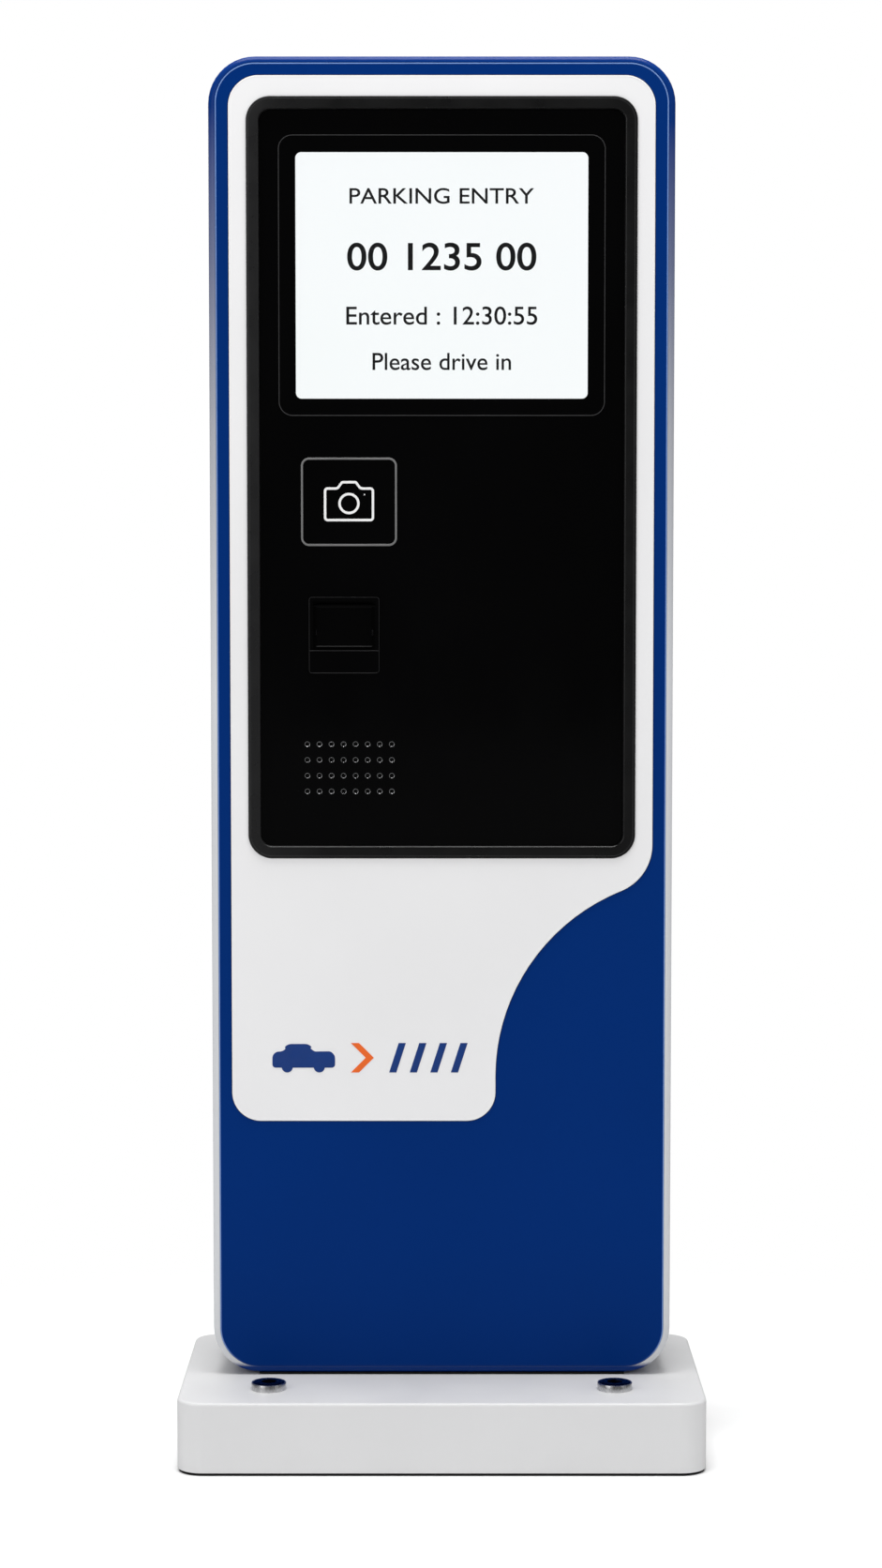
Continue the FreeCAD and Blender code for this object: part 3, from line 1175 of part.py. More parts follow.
def breaker(back):
    """Circuit breaker with its toggle, and the terminals beside it."""
    face = "(%s + din_deep)" % back
    case = block("breaker_side", face, "din_rise - breaker_tall / 2", "breaker_wide",
                 "breaker_deep", "breaker_tall")
    nose = block("breaker_side", face + " + breaker_deep", "din_rise - 22", "breaker_wide",
                 "6", "44")
    well = block("breaker_side", TOGGLE_Y + " - toggle_across / 2 - seat_gap",
                 "din_rise - 10", "toggle_wide + 2 * seat_gap", "30", "20")
    keep(cut(join(case, nose), well), "circuit_breaker")
    barrel = rod("toggle_across", "toggle_wide", "breaker_side - toggle_wide / 2",
                 TOGGLE_Y, "din_rise", "right")
    lever = doc.addObject("Part::Box", "lever")
    tie(lever, "Length", "toggle_wide")
    tie(lever, "Width", "toggle_reach")
    tie(lever, "Height", "4")
    lever.Placement = FreeCAD.Placement(FreeCAD.Vector(),
                                        FreeCAD.Rotation(FreeCAD.Vector(1, 0, 0), 20))
    for axis, text in (("x", "breaker_side - toggle_wide / 2"), ("y", TOGGLE_Y + " + 0.7"),
                       ("z", "din_rise - 1.9")):
        tie(lever, "Placement.Base." + axis, text)
    keep(join(barrel, lever), "breaker_toggle")
    rows = []
    for number in range(8):
        x = "terminal_side + terminal_wide * (%d - 3.5) / 8" % number
        rows.append(block(x, face, "din_rise - 24", "terminal_wide / 8 - 0.4", "38", "48"))
        rows.append(block(x, face, "din_rise - 30", "terminal_wide / 8 - 1", "22", "60"))
    spine = block("terminal_side", face, "din_rise - 20", "terminal_wide", "30", "40")
    keep(join(spine, *rows), "terminal_block")


# ---------------------------------------------------------------- service door
def door():
    """The folded door, its vents and the seal inside its fold."""
    body = new_body("rear_door", "door_shift", DOOR_BACK, MIDDLE, "front")
    pad(body, rounded(sketch(body), "door_wide", "door_tall", "door_corner"), "door_fold")
    dress(body, "Fillet", at_level(0), "2")
    pocket(body, rounded(sketch(body, level="door_fold"), "door_wide - 2 * door_sheet",
                         "door_tall - 2 * door_sheet", "door_corner - door_sheet"),
           "door_fold - door_sheet")
    for middle in ("fan_rise", "vent_low"):
        for number in range(int(now("vent_count"))):
            rise = "%s - %s + vent_step * (%d - (vent_count - 1) / 2)" % (middle, MIDDLE,
                                                                         number)
            pocket(body, rounded(sketch(body, v=rise, level="door_sheet"), "vent_wide",
                                 "vent_tall", "vent_tall / 2 - 0.1"), "door_sheet")
    pocket(body, circle(sketch(body, "lock_side - door_shift", level="door_sheet"),
                        "lock_plug + 4"), "door_sheet")
    seal = new_body("door_seal", "0", DOOR_INNER, MIDDLE, "front")
    inner = "(column_sheet + door_flange - 1)"
    outer = "(column_sheet + door_flange - 1 - seal_band)"
    deep = "(%s - %s - seat_gap)" % (DOOR_INNER, REAR)
    pad(seal, rounded(sketch(seal), "column_wide - 2 * " + outer,
                      "column_tall - 2 * " + outer, "column_corner - " + outer), deep)
    pocket(seal, rounded(sketch(seal, level=deep), "column_wide - 2 * " + inner,
                         "column_tall - 2 * " + inner, "column_corner - " + inner), deep)


def hinges():
    """Three hinges: cast blocks on the column, leaves on the door, pins."""
    blocks, leaves, pins = [], [], []
    x = "-hinge_side"
    end = "(hinge_long - hinge_middle) / 2"
    for number in range(3):
        middle = "(%s + hinge_step * %d)" % (MIDDLE, number - 1)
        for foot in (middle + " - hinge_long / 2", middle + " + hinge_middle / 2 + 0.5"):
            knuckle = rod("hinge_across", end + " - 0.5", x, HINGE_Y, foot)
            base = block(x + " - hinge_across * 0.4", REAR, foot, "hinge_across * 0.8",
                         "hinge_set", end + " - 0.5")
            pin_hole = rod("hinge_pin", end + " - 0.5", x, HINGE_Y, foot)
            blocks.append(cut(join(knuckle, base), pin_hole))
        foot = middle + " - hinge_middle / 2"
        knuckle = rod("hinge_across", "hinge_middle", x, HINGE_Y, foot)
        tongue = block(x + " + hinge_across * 0.5", DOOR_BACK, foot, "hinge_across",
                       "leaf_thick", "hinge_middle")
        leaf = block(x + " + (leaf_wide + hinge_across * 0.8) / 2", DOOR_BACK,
                     middle + " - hinge_long / 2", "leaf_wide - hinge_across * 0.8",
                     "leaf_thick", "hinge_long")
        bore = rod("hinge_pin + 2 * running_gap", "hinge_middle", x, HINGE_Y, foot)
        leaves.append(cut(join(knuckle, tongue, leaf), bore))
        pins.append(rod("hinge_pin", "hinge_long", x, HINGE_Y,
                        middle + " - hinge_long / 2"))
    keep(join(*blocks), "hinge_blocks")
    keep(join(*leaves), "hinge_leaves")
    keep(join(*pins), "hinge_pins")


def lock():
    """Quarter-turn lock: barrel through the door, and the plug with its cam."""
    z = MIDDLE
    collar = rod("lock_across", "3", "lock_side", LOCK_Y, z, "rear")
    neck = rod("lock_plug + 4 - 2 * running_gap", "lock_long", "lock_side", LOCK_Y, z,
               "front")
    bore_a = rod("lock_plug + 2 * running_gap - 4", "3", "lock_side", LOCK_Y, z, "rear")
    bore_b = rod("lock_plug + 2 * running_gap - 4", "lock_long", "lock_side", LOCK_Y, z,
                 "front")
    keep(cut(join(collar, neck), bore_a, bore_b), "lock_barrel")
    plug_a = rod("lock_plug - 4", "3", "lock_side", LOCK_Y, z, "rear")
    plug_b = rod("lock_plug - 4", "lock_long + cam_thick + 2", "lock_side", LOCK_Y, z,
                 "front")
    cam = block("lock_side", LOCK_Y + " - lock_long - seat_gap - cam_thick",
                z + " - cam_reach", "cam_wide", "cam_thick", "cam_reach + cam_wide / 2")
    key = block("lock_side", LOCK_Y + " + 1.2", z + " - 3", "1.4", "3", "6")
    keep(cut(join(plug_a, plug_b, cam), key), "lock_cam")


def fan():
    """Fan frame on the door's inside, with its struts, and the rotor."""
    x = "door_shift"
    front_y = "(%s - fan_deep)" % FAN_Y
    case = block(x, front_y, "fan_rise - fan_wide / 2", "fan_wide", "fan_deep", "fan_wide")
    bore = rod("fan_bore", "fan_deep", x, FAN_Y, "fan_rise", "front")
    struts = [rod("fan_hub", "3", x, FAN_Y, "fan_rise", "front"),
              block(x, FAN_Y + " - 3", "fan_rise - fan_bore / 2 - 1", "5", "3",
                    "fan_bore + 2"),
              block(x, FAN_Y + " - 3", "fan_rise - 2.5", "fan_bore + 2", "3", "5")]
    keep(join(cut(case, bore), *struts), "fan_frame")
    rotor = doc.addObject("Part::Feature", "fan_rotor")
    rotor.Shape = rotor_shape()
    place(rotor, x, FAN_Y + " - 3 - seat_gap", "fan_rise", "front")
    keep(rotor, "fan_rotor")


def rotor_shape():
    """Hub and twisted blades, along +Z from the hub's rear face. Each blade
    is ruled between a steep chord at the hub and a flatter one at its tip."""
    hub, deep = now("fan_hub") / 2, now("fan_deep") - 6
    tip = now("fan_bore") / 2 - now("fan_play") - 1.5
    shape = Part.makeCylinder(hub, deep)
    shape = shape.makeFillet(1.5, [e for e in shape.Edges if at_level(deep)(e)])
    count = int(now("fan_blades"))
    for number in range(count):
        ends = []
        for radius, chord, lean in ((hub - 1.5, 15, 55), (tip, 20, 35)):
            slope = math.radians(lean)
            along = FreeCAD.Vector(0, math.cos(slope), math.sin(slope)) * (chord / 2)
            thick = FreeCAD.Vector(0, -math.sin(slope), math.cos(slope)) * 0.9
            middle = FreeCAD.Vector(radius, 0, deep / 2)
            corners = [middle - along - thick, middle + along - thick,
                       middle + along + thick, middle - along + thick]
            ends.append(Part.makePolygon(corners + corners[:1]))
        blade = Part.makeLoft(ends, True, True)
        blade.rotate(FreeCAD.Vector(), FreeCAD.Vector(0, 0, 1), 360.0 * number / count)
        shape = shape.fuse(blade)
    return shape


# ---------------------------------------------------------------- build
def check():
    """Stops at the first object that failed, and at cuts that cut nothing."""
    for thing in doc.Objects:
        if "Invalid" in thing.State or "Error" in thing.State:
            raise RuntimeError("%s (%s) failed" % (thing.Name, thing.Label))
        if thing.TypeId == "PartDesign::Pocket":
            before = thing.BaseFeature.Shape.Volume
            if thing.Shape.Volume > before - 1e-3:
                raise RuntimeError("%s cuts nothing" % thing.Name)
    for part in KEPT:
        if part.Shape.isNull() or not part.Shape.isValid():
            raise RuntimeError("%s has no valid shape" % part.Label)


def main():
    foot_ring()
    plinth_shell()
    anchor_set()
    column_seal()
    tie_bolts()
    cable_grommet()
    column_shell()
    face_panel()
    overlay()
    side_rails()
    bezel()
    fascia()
    display()
    camera()
    ticket_mouth()
    speaker()
    printer_shelf()
    printer_frame()
    platen()
    paper()
    cutter()
    lid()
    plates()
    door()
    hinges()
    lock()
    fan()
    doc.recompute()
    check()
    os.makedirs("parts", exist_ok=True)
    for part in KEPT:
        part.Shape.exportStep("parts/%s.step" % part.Label)
        print("%-18s %2d solid(s) %12.1f mm3" % (part.Label, len(part.Shape.Solids),
                                                part.Shape.Volume))
    print(len(KEPT), "nodes")


main()
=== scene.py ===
import json
import math

import bmesh
import bpy
import numpy as np
from bpy.props import (FloatProperty, FloatVectorProperty, PointerProperty,
                       StringProperty)
from bpy.types import Operator, Panel, PropertyGroup
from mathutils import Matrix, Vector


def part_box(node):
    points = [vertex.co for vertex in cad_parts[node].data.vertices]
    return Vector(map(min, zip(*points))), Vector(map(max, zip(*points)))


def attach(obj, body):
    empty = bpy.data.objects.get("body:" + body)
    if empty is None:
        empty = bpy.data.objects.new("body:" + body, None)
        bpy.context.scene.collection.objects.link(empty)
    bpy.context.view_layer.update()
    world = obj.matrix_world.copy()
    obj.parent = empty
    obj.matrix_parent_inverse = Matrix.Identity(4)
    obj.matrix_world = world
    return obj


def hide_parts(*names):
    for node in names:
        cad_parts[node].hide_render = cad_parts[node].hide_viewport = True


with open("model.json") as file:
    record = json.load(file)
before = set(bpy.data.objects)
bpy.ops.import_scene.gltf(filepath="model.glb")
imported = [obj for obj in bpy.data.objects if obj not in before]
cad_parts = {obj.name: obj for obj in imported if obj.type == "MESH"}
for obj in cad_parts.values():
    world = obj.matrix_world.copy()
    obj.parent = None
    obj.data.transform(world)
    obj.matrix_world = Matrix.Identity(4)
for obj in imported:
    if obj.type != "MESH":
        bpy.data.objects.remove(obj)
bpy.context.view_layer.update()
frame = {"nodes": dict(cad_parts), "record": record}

bl_info = {
    "name": "Parking station",
    "version": (1, 0, 0),
    "blender": (4, 5, 0),
    "location": "View3D > Sidebar > Station",
    "description": "Finishes a parking entry station around its packed frame",
    "category": "Object",
}

NODES = frame["nodes"]


# ------------------------------------------------------------------ sizes
def length(name, default, description):
    """A length in metres."""
    return FloatProperty(name=name, default=default, description=description,
                         subtype="DISTANCE", unit="LENGTH", precision=4)


def colour(name, default, description):
    """A linear colour."""
    return FloatVectorProperty(name=name, default=default, description=description,
                               subtype="COLOR", size=3, min=0.0, max=1.0)


def words(name, default, description):
    """A line of text."""
    return StringProperty(name=name, default=default, description=description,
                          subtype="NONE")


class StationSizes(PropertyGroup):
    """Sizes of the pieces that are made here, in metres."""
    bead: length("Overlay bead", 0.0009, "Width of the rounded edge round the overlay")
    overlay_corner: length("Overlay corner", 0.031, "Radius of the overlay's upper corners")
    overlay_toe: length("Overlay toe", 0.030, "Radius of the overlay's lower corners")
    waist_side: length("Waist", 0.056, "Overlay's lower right edge from the middle")
    waist_rise: length("Waist rise", 0.047, "Where that edge starts to sweep")
    sweep_hollow: length("Hollow", 0.210, "Radius of the hollow part of the sweep")
    sweep_shoulder: length("Shoulder", 0.052, "Radius of the shoulder above it")
    frame_corner: length("Frame corner", 0.025, "Outer corner radius of the black frame")
    frame_band: length("Frame band", 0.013, "Width of the black frame's band")
    frame_edge: length("Frame edge", 0.0016, "Rounding of the black frame's edges")
    rim_corner: length("Screen rim corner", 0.0145, "Corner radius of the screen surround")
    lit_corner: length("Lit corner", 0.006, "Corner radius of the lit screen")
    # the fine lines are painted highlight lines on edges and a painted shadow line round
    # the overlay
    line: length("Fine line", 0.0008, "Width of the fine lines round the panels")
    grille_side: length("Grille", 0.0959, "Grille's middle, left of the middle")
    grille_drop: length("Grille drop", 0.6894, "Its middle below the frame's top")
    grille_step: length("Grille pitch", 0.01254, "Grille holes, pitch across")
    grille_fall: length("Grille fall", 0.0164, "Grille holes, pitch down")
    lit_margin: length("Screen margin", 0.010, "Display module beyond the lit screen")
    face_corner: length("Face corner", 0.0407, "Blue face, corner radius")
    camera_corner: length("Camera corner", 0.0085, "Corner radius of the camera surround")
    camera_line: length("Camera line", 0.0021, "Width of the camera surround")


class StationColours(PropertyGroup):
    """Base colours of the finishes, linear."""
    white_coat: colour("White coat", (0.665, 0.665, 0.67), "Powder coat of the plinth")
    overlay_white: colour("Overlay", (0.80, 0.798, 0.805), "White overlay")
    blue: colour("Blue", (0.0004, 0.024, 0.155), "Lacquer of the face")
    silver: colour("Silver", (0.60, 0.61, 0.63), "Lacquer of the wrap's lower part")
    satin_black: colour("Satin black", (0.0075, 0.0075, 0.0078), "Black frame")
    gloss_black: colour("Gloss black", (0.0006, 0.0006, 0.0007), "Fascia")
    badge_navy: colour("Badge navy", (0.003, 0.035, 0.19), "Pictogram")
    badge_orange: colour("Badge orange", (0.80, 0.13, 0.012), "Pictogram's arrow")
    # this colour also makes the painted shadow line round the overlay
    ink_and_painted_shadow: colour("Ink", (0.006, 0.006, 0.008), "Lettering on the lit screen")


class StationTexts(PropertyGroup):
    """Generic lines on the lit screen."""
    first: words("First", "PARKING ENTRY", "Top line, the heading")
    second: words("Second", "00 1235 00", "Second line, a made-up number, set bold")
    third: words("Third", "Entered : 12:30:55", "Third line, a time")
    fourth: words("Fourth", "Please drive in", "Bottom line, the shortest")


# ------------------------------------------------------------------ finishes
class Finish:
    """A material with short words for its nodes. Patterns sit on Object coordinates."""

    def __init__(self, name, **constants):
        self.material = bpy.data.materials.new(name)
        self.material.use_nodes = True
        self.tree = self.material.node_tree
        self.shader = self.tree.nodes["Principled BSDF"]
        for socket, value in constants.items():
            self.set(socket, value)
        self.coords = self.tree.nodes.new("ShaderNodeTexCoord").outputs["Object"]

    def set(self, socket, value):
        """Sets a constant on the shader's own socket, or links a pattern to it."""
        target = self.shader.inputs[socket.replace("_", " ")]
        if isinstance(value, bpy.types.NodeSocket):
            self.tree.links.new(value, target)
        elif target.type == "RGBA" and len(value) == 3:
            target.default_value = (*value, 1.0)
        else:
            target.default_value = value

    def node(self, kind, settings=None, **inputs):
        """Adds a node; an input is a socket's name, or i and its number."""
        made = self.tree.nodes.new("ShaderNode" + kind)
        for name, value in (settings or {}).items():
            setattr(made, name, value)
        for name, value in inputs.items():
            socket = made.inputs[int(name[1:]) if name[0] == "i" and name[1:].isdigit()
                                 else name.replace("_", " ")]
            if isinstance(value, bpy.types.NodeSocket):
                self.tree.links.new(value, socket)
            else:
                socket.default_value = value
        return made

    def place(self, stretch=(1, 1, 1), shift=(0, 0, 0)):
        """Object coordinates, stretched and shifted."""
        return self.node("Mapping", Vector=self.coords, Scale=stretch,
                         Location=shift).outputs["Vector"]

    def along(self, axis):
        """How far along an axis a point lies."""
        return self.node("SeparateXYZ", Vector=self.coords).outputs[axis]

    def rise(self, value, start, end):
        """0 up to start, 1 from end on, and straight between them."""
        return self.node("MapRange", Value=value, From_Min=start,
                         From_Max=end).outputs["Result"]

    def work(self, operation, first, second):
        """A sum, product or the like of two values."""
        return self.node("Math", {"operation": operation}, i0=first, i1=second).outputs[0]

    def blend(self, share, first, second):
        """The first colour where share is 0, the second where it is 1."""
        return self.node("Mix", {"data_type": "RGBA"}, i0=share, i6=first,
                         i7=second).outputs[2]

    def noise(self, scale, detail=3.0, rough=0.5, stretch=(1, 1, 1)):
        """Soft patches, about one over the scale wide in metres."""
        return self.node("TexNoise", Vector=self.place(stretch), Scale=scale,
                         Detail=detail, Roughness=rough).outputs["Fac"]

    def spread(self, fac, low, high, before=0.35, after=0.65):
        """Maps a pattern's middle range to low..high."""
        return self.node("MapRange", Value=fac, From_Min=before, From_Max=after,
                         To_Min=low, To_Max=high).outputs["Result"]

    def ramp(self, fac, stops):
        """The colour between the two stops that a value lies between."""
        made = self.node("ValToRGB", Fac=fac)
        band = made.color_ramp
        while len(band.elements) < len(stops):
            band.elements.new(0.5)
        for element, (at, shade) in zip(band.elements, stops):
            element.position = at
            element.color = (*shade, 1.0)
        return made.outputs["Color"]

    def mottle(self, shade, amount, scale, **more):
        """The base colour, a little lighter and darker in soft patches."""
        low = tuple(c * (1 - amount) for c in shade)
        high = tuple(min(1.0, c * (1 + amount)) for c in shade)
        self.set("Base_Color", self.ramp(self.noise(scale, **more),
                                         [(0.35, low), (0.65, high)]))

    def bump(self, height, strength, distance, under=None):
        """Tilts the normal by a pattern's slope, over another bump if there is one."""
        made = self.node("Bump", Height=height, Strength=strength, Distance=distance)
        if under is not None:
            self.tree.links.new(under, made.inputs["Normal"])
        self.set("Normal", made.outputs["Normal"])
        return made.outputs["Normal"]


def powder_coat(name, shade, rough=0.42):
    """Fine orange peel, with faint wear that dulls the gloss in patches."""
    made = Finish(name, Specular_IOR_Level=0.42)
    made.mottle(shade, 0.018, 3.0, detail=4.0)
    made.set("Roughness", made.spread(made.noise(14.0, 5.0), rough - 0.06, rough + 0.08))
    grain = made.bump(made.noise(950.0, 2.0), 0.16, 0.00012)
    made.bump(made.noise(170.0, 2.0), 0.06, 0.0003, under=grain)
    return made.material


def lacquer(name, shade, rough=0.34):
    """Sprayed lacquer: a soft long peel, and gloss that varies a little."""
    made = Finish(name, Specular_IOR_Level=0.03)
    made.mottle(shade, 0.05, 2.2, detail=2.0)
    made.set("Roughness", made.spread(made.noise(7.0, 3.0), rough - 0.04, rough + 0.06))
    made.bump(made.noise(150.0, 1.0), 0.02, 0.0001)
    return made.material


def faded_lacquer(name, silver, blue):
    """The wrap's lacquer: silver low down, through grey blue, to blue at the top, and
    blue again on the underside."""
    silver_below, blue_above = 0.80, 1.385
    underside, side = 0.0835, 0.0885
    made = Finish(name, Specular_IOR_Level=0.10)
    height = made.along("Z")
    wander = made.spread(made.noise(2.0, 1.0), -0.01, 0.01)
    share = made.rise(made.work("ADD", height, wander), silver_below, blue_above)
    grey = tuple(0.62 * s + 0.18 * b for s, b in zip(silver, blue))
    steel = tuple(0.22 * s + 0.7 * b for s, b in zip(silver, blue))
    fade = made.ramp(share, [(0.0, silver), (0.45, grey), (0.75, steel), (1.0, blue)])
    made.set("Base_Color", made.blend(made.rise(height, underside, side), (*blue, 1.0),
                                      fade))
    made.set("Roughness", made.spread(made.noise(5.0, 1.0), 0.26, 0.29))
    made.bump(made.noise(700.0, 1.0), 0.01, 0.0001)
    return made.material


def satin_black(name, shade, rough=0.30):
    """Fine textured black paint, with painted light across it: lighter on the left side,
    darker to the right, standing for light that falls from the left.
    """
    made = Finish(name, Specular_IOR_Level=0.36)
    painted_light_x, painted_dark_x = -0.19, -0.12
    share = made.rise(made.along("X"), painted_light_x, painted_dark_x)
    # painted light: the left side half again as light as the shade, the right side half as
    # light
    grey = tuple(value * 1.5 for value in shade)
    painted_dark_tone = tuple(value * 0.5 for value in shade)
    made.set("Base_Color", made.ramp(share, [(0.0, grey), (1.0, painted_dark_tone)]))
    made.set("Roughness", made.spread(made.noise(40.0, 5.0), rough - 0.05, rough + 0.09))
    made.bump(made.noise(2600.0, 2.0), 0.10, 0.00004)
    return made.material


def gloss_black(name, shade):
    """Polished acrylic with the faintest wiping marks."""
    made = Finish(name, Specular_IOR_Level=0.14)
    made.mottle(shade, 0.3, 4.0)
    wipes = made.noise(22.0, 6.0, 0.65, stretch=(1.0, 1.0, 0.25))
    made.set("Roughness", made.spread(wipes, 0.05, 0.13))
    made.bump(made.noise(90.0, 2.0), 0.02, 0.0002)
    return made.material


def moulded(name, shade, rough=0.5, grain=1400.0):
    """Moulded plastic with a fine spark-eroded grain."""
    made = Finish(name, Specular_IOR_Level=0.4)
    made.mottle(shade, 0.08, 20.0)
    cells = made.node("TexVoronoi", Vector=made.place(), Scale=grain).outputs["Distance"]
    made.set("Roughness", made.spread(made.noise(60.0, 4.0), rough - 0.06, rough + 0.06))
    made.bump(cells, 0.18, 0.00008)
    return made.material


def rubber(name, shade):
    """Matt rubber with a dusty bloom."""
    made = Finish(name, Specular_IOR_Level=0.3)
    made.mottle(shade, 0.35, 60.0, detail=6.0)
    made.set("Roughness", made.spread(made.noise(90.0, 5.0), 0.72, 0.9))
    made.bump(made.noise(1500.0, 3.0), 0.3, 0.0001)
    return made.material


def metal(name, shade, rough=0.3, stretch=(1, 1, 1), scale=500.0, spangle=0.0):
    """Bare or plated metal: brush lines along the short side of the stretch, or
    the large dull crystals of a hot-dip coat."""
    made = Finish(name, Metallic=1.0)
    if spangle:
        cells = made.node("TexVoronoi", Vector=made.place(), Scale=spangle)
        tone = made.node("SeparateXYZ", Vector=cells.outputs["Color"]).outputs["X"]
        low, high = tuple(c * 0.8 for c in shade), tuple(min(1, c * 1.12) for c in shade)
        made.set("Base_Color", made.ramp(tone, [(0.0, low), (1.0, high)]))
    else:
        made.mottle(shade, 0.06, 12.0)
    lines = made.noise(scale, 4.0, 0.6, stretch=stretch)
    made.set("Roughness", made.spread(lines, rough - 0.07, rough + 0.1))
    made.bump(lines, 0.12, 0.00008)
    return made.material


def clear_glass(name):
    """Clear cover glass with a trace of smear in its gloss."""
    made = Finish(name, Base_Color=(0.97, 0.985, 0.99), Transmission_Weight=1.0, IOR=1.45,
                  Specular_IOR_Level=0.35)
    made.set("Roughness", made.spread(made.noise(18.0, 5.0), 0.0, 0.03))
    return made.material


def lit_panel(name):
    """The lit screen: a white backlight, a touch cooler and dimmer in soft patches."""
    made = Finish(name, Base_Color=(0.02, 0.02, 0.02), Roughness=0.4,
                  Emission_Strength=1.07)
    wash = made.noise(2.4, 2.0)
    made.set("Emission_Color", made.ramp(wash, [(0.3, (0.925, 0.95, 0.945)),
                                                (0.7, (0.965, 0.975, 0.985))]))
    return made.material


def print_and_painted_line(name, shade, rough=0.4):
    """Screen print: flat, with the faint tooth of the mesh. The same flat finish also
    carries painted highlight lines on edges and a painted shadow line.
    """
    made = Finish(name, Specular_IOR_Level=0.3)
    made.mottle(shade, 0.04, 40.0)
    made.set("Roughness", made.spread(made.noise(120.0, 3.0), rough - 0.05, rough + 0.08))
    made.bump(made.noise(2500.0, 1.0), 0.08, 0.00004)
    return made.material


def painted_edge_highlight(name, shade, unlit_foot_shade):
    """A painted highlight along an edge: a lighter line, a little uneven, standing for
    light caught where the face meets its rolled edge; along the bottom, where no light is
    caught, it keeps the face's colour.
    """
    made = Finish(name, Specular_IOR_Level=0.10, Roughness=0.3)
    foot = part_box("front_panel")[0].z
    share = made.rise(made.along("Z"), foot + 0.004, foot + 0.020)
    highlight_wobble = made.spread(made.noise(60.0, 3.0), 0.9, 1.0)
    level = made.work("MULTIPLY", share, highlight_wobble)
    made.set("Base_Color", made.ramp(level, [(0.0, unlit_foot_shade), (1.0, shade)]))
    return made.material


def circuit_board(name):
    """Green solder mask with track marks, and dark or pale parts that stand off it."""
    sheet, low_parts, step = 0.0018, 0.0075, 0.0002
    dark, pale, copper = (0.012, 0.012, 0.013), (0.45, 0.45, 0.42), (0.03, 0.19, 0.08)
    made = Finish(name, Specular_IOR_Level=0.5)
    back = front_of("control_board")
    tracks = made.noise(160.0, 2.0, 0.4, stretch=(1.0, 1.0, 5.0))
    mask = made.ramp(tracks, [(0.0, (0.008, 0.075, 0.03)), (0.5, (0.012, 0.11, 0.045)),
                              (0.56, copper), (1.0, copper)])
    depth = made.along("Y")
    stands = made.rise(depth, back + sheet, back + sheet + step)
    tall = made.rise(depth, back + low_parts, back + low_parts + step)
    part = made.ramp(tall, [(0.0, dark), (1.0, pale)])
    made.set("Base_Color", made.blend(stands, mask, part))
    made.set("Roughness", made.spread(tracks, 0.30, 0.45))
    made.bump(tracks, 0.12, 0.0001)
    return made.material


def paper(name):
    """Thermal paper wound in a roll: fine rings on the ends."""
    made = Finish(name, Base_Color=(0.86, 0.85, 0.82))
    lo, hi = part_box("paper_roll")
    middle = (lo + hi) / 2
    where = made.place(shift=(-middle.x, -middle.y, -middle.z))
    rings = made.node("TexWave", {"wave_type": "RINGS", "rings_direction": "X"},
                      Vector=where, Scale=900.0, Distortion=0.5).outputs["Fac"]
    made.set("Roughness", made.spread(rings, 0.55, 0.7))
    made.bump(rings, 0.2, 0.0001)
    return made.material


def cloth(name):
    """Black speaker cloth: a plain weave of two crossed waves."""
    made = Finish(name, Roughness=0.85, Sheen_Weight=0.2)
    across = made.node("TexWave", {"bands_direction": "X"}, Vector=made.place(),
                       Scale=900.0).outputs["Fac"]
    along = made.node("TexWave", {"bands_direction": "Z"}, Vector=made.place(),
                      Scale=900.0).outputs["Fac"]
    weave = made.work("MULTIPLY", across, along)
    made.set("Base_Color", made.ramp(weave, [(0.1, (0.004, 0.004, 0.004)),
                                             (0.8, (0.02, 0.02, 0.02))]))
    made.bump(weave, 0.5, 0.0002)
    return made.material


FINISHES = {}


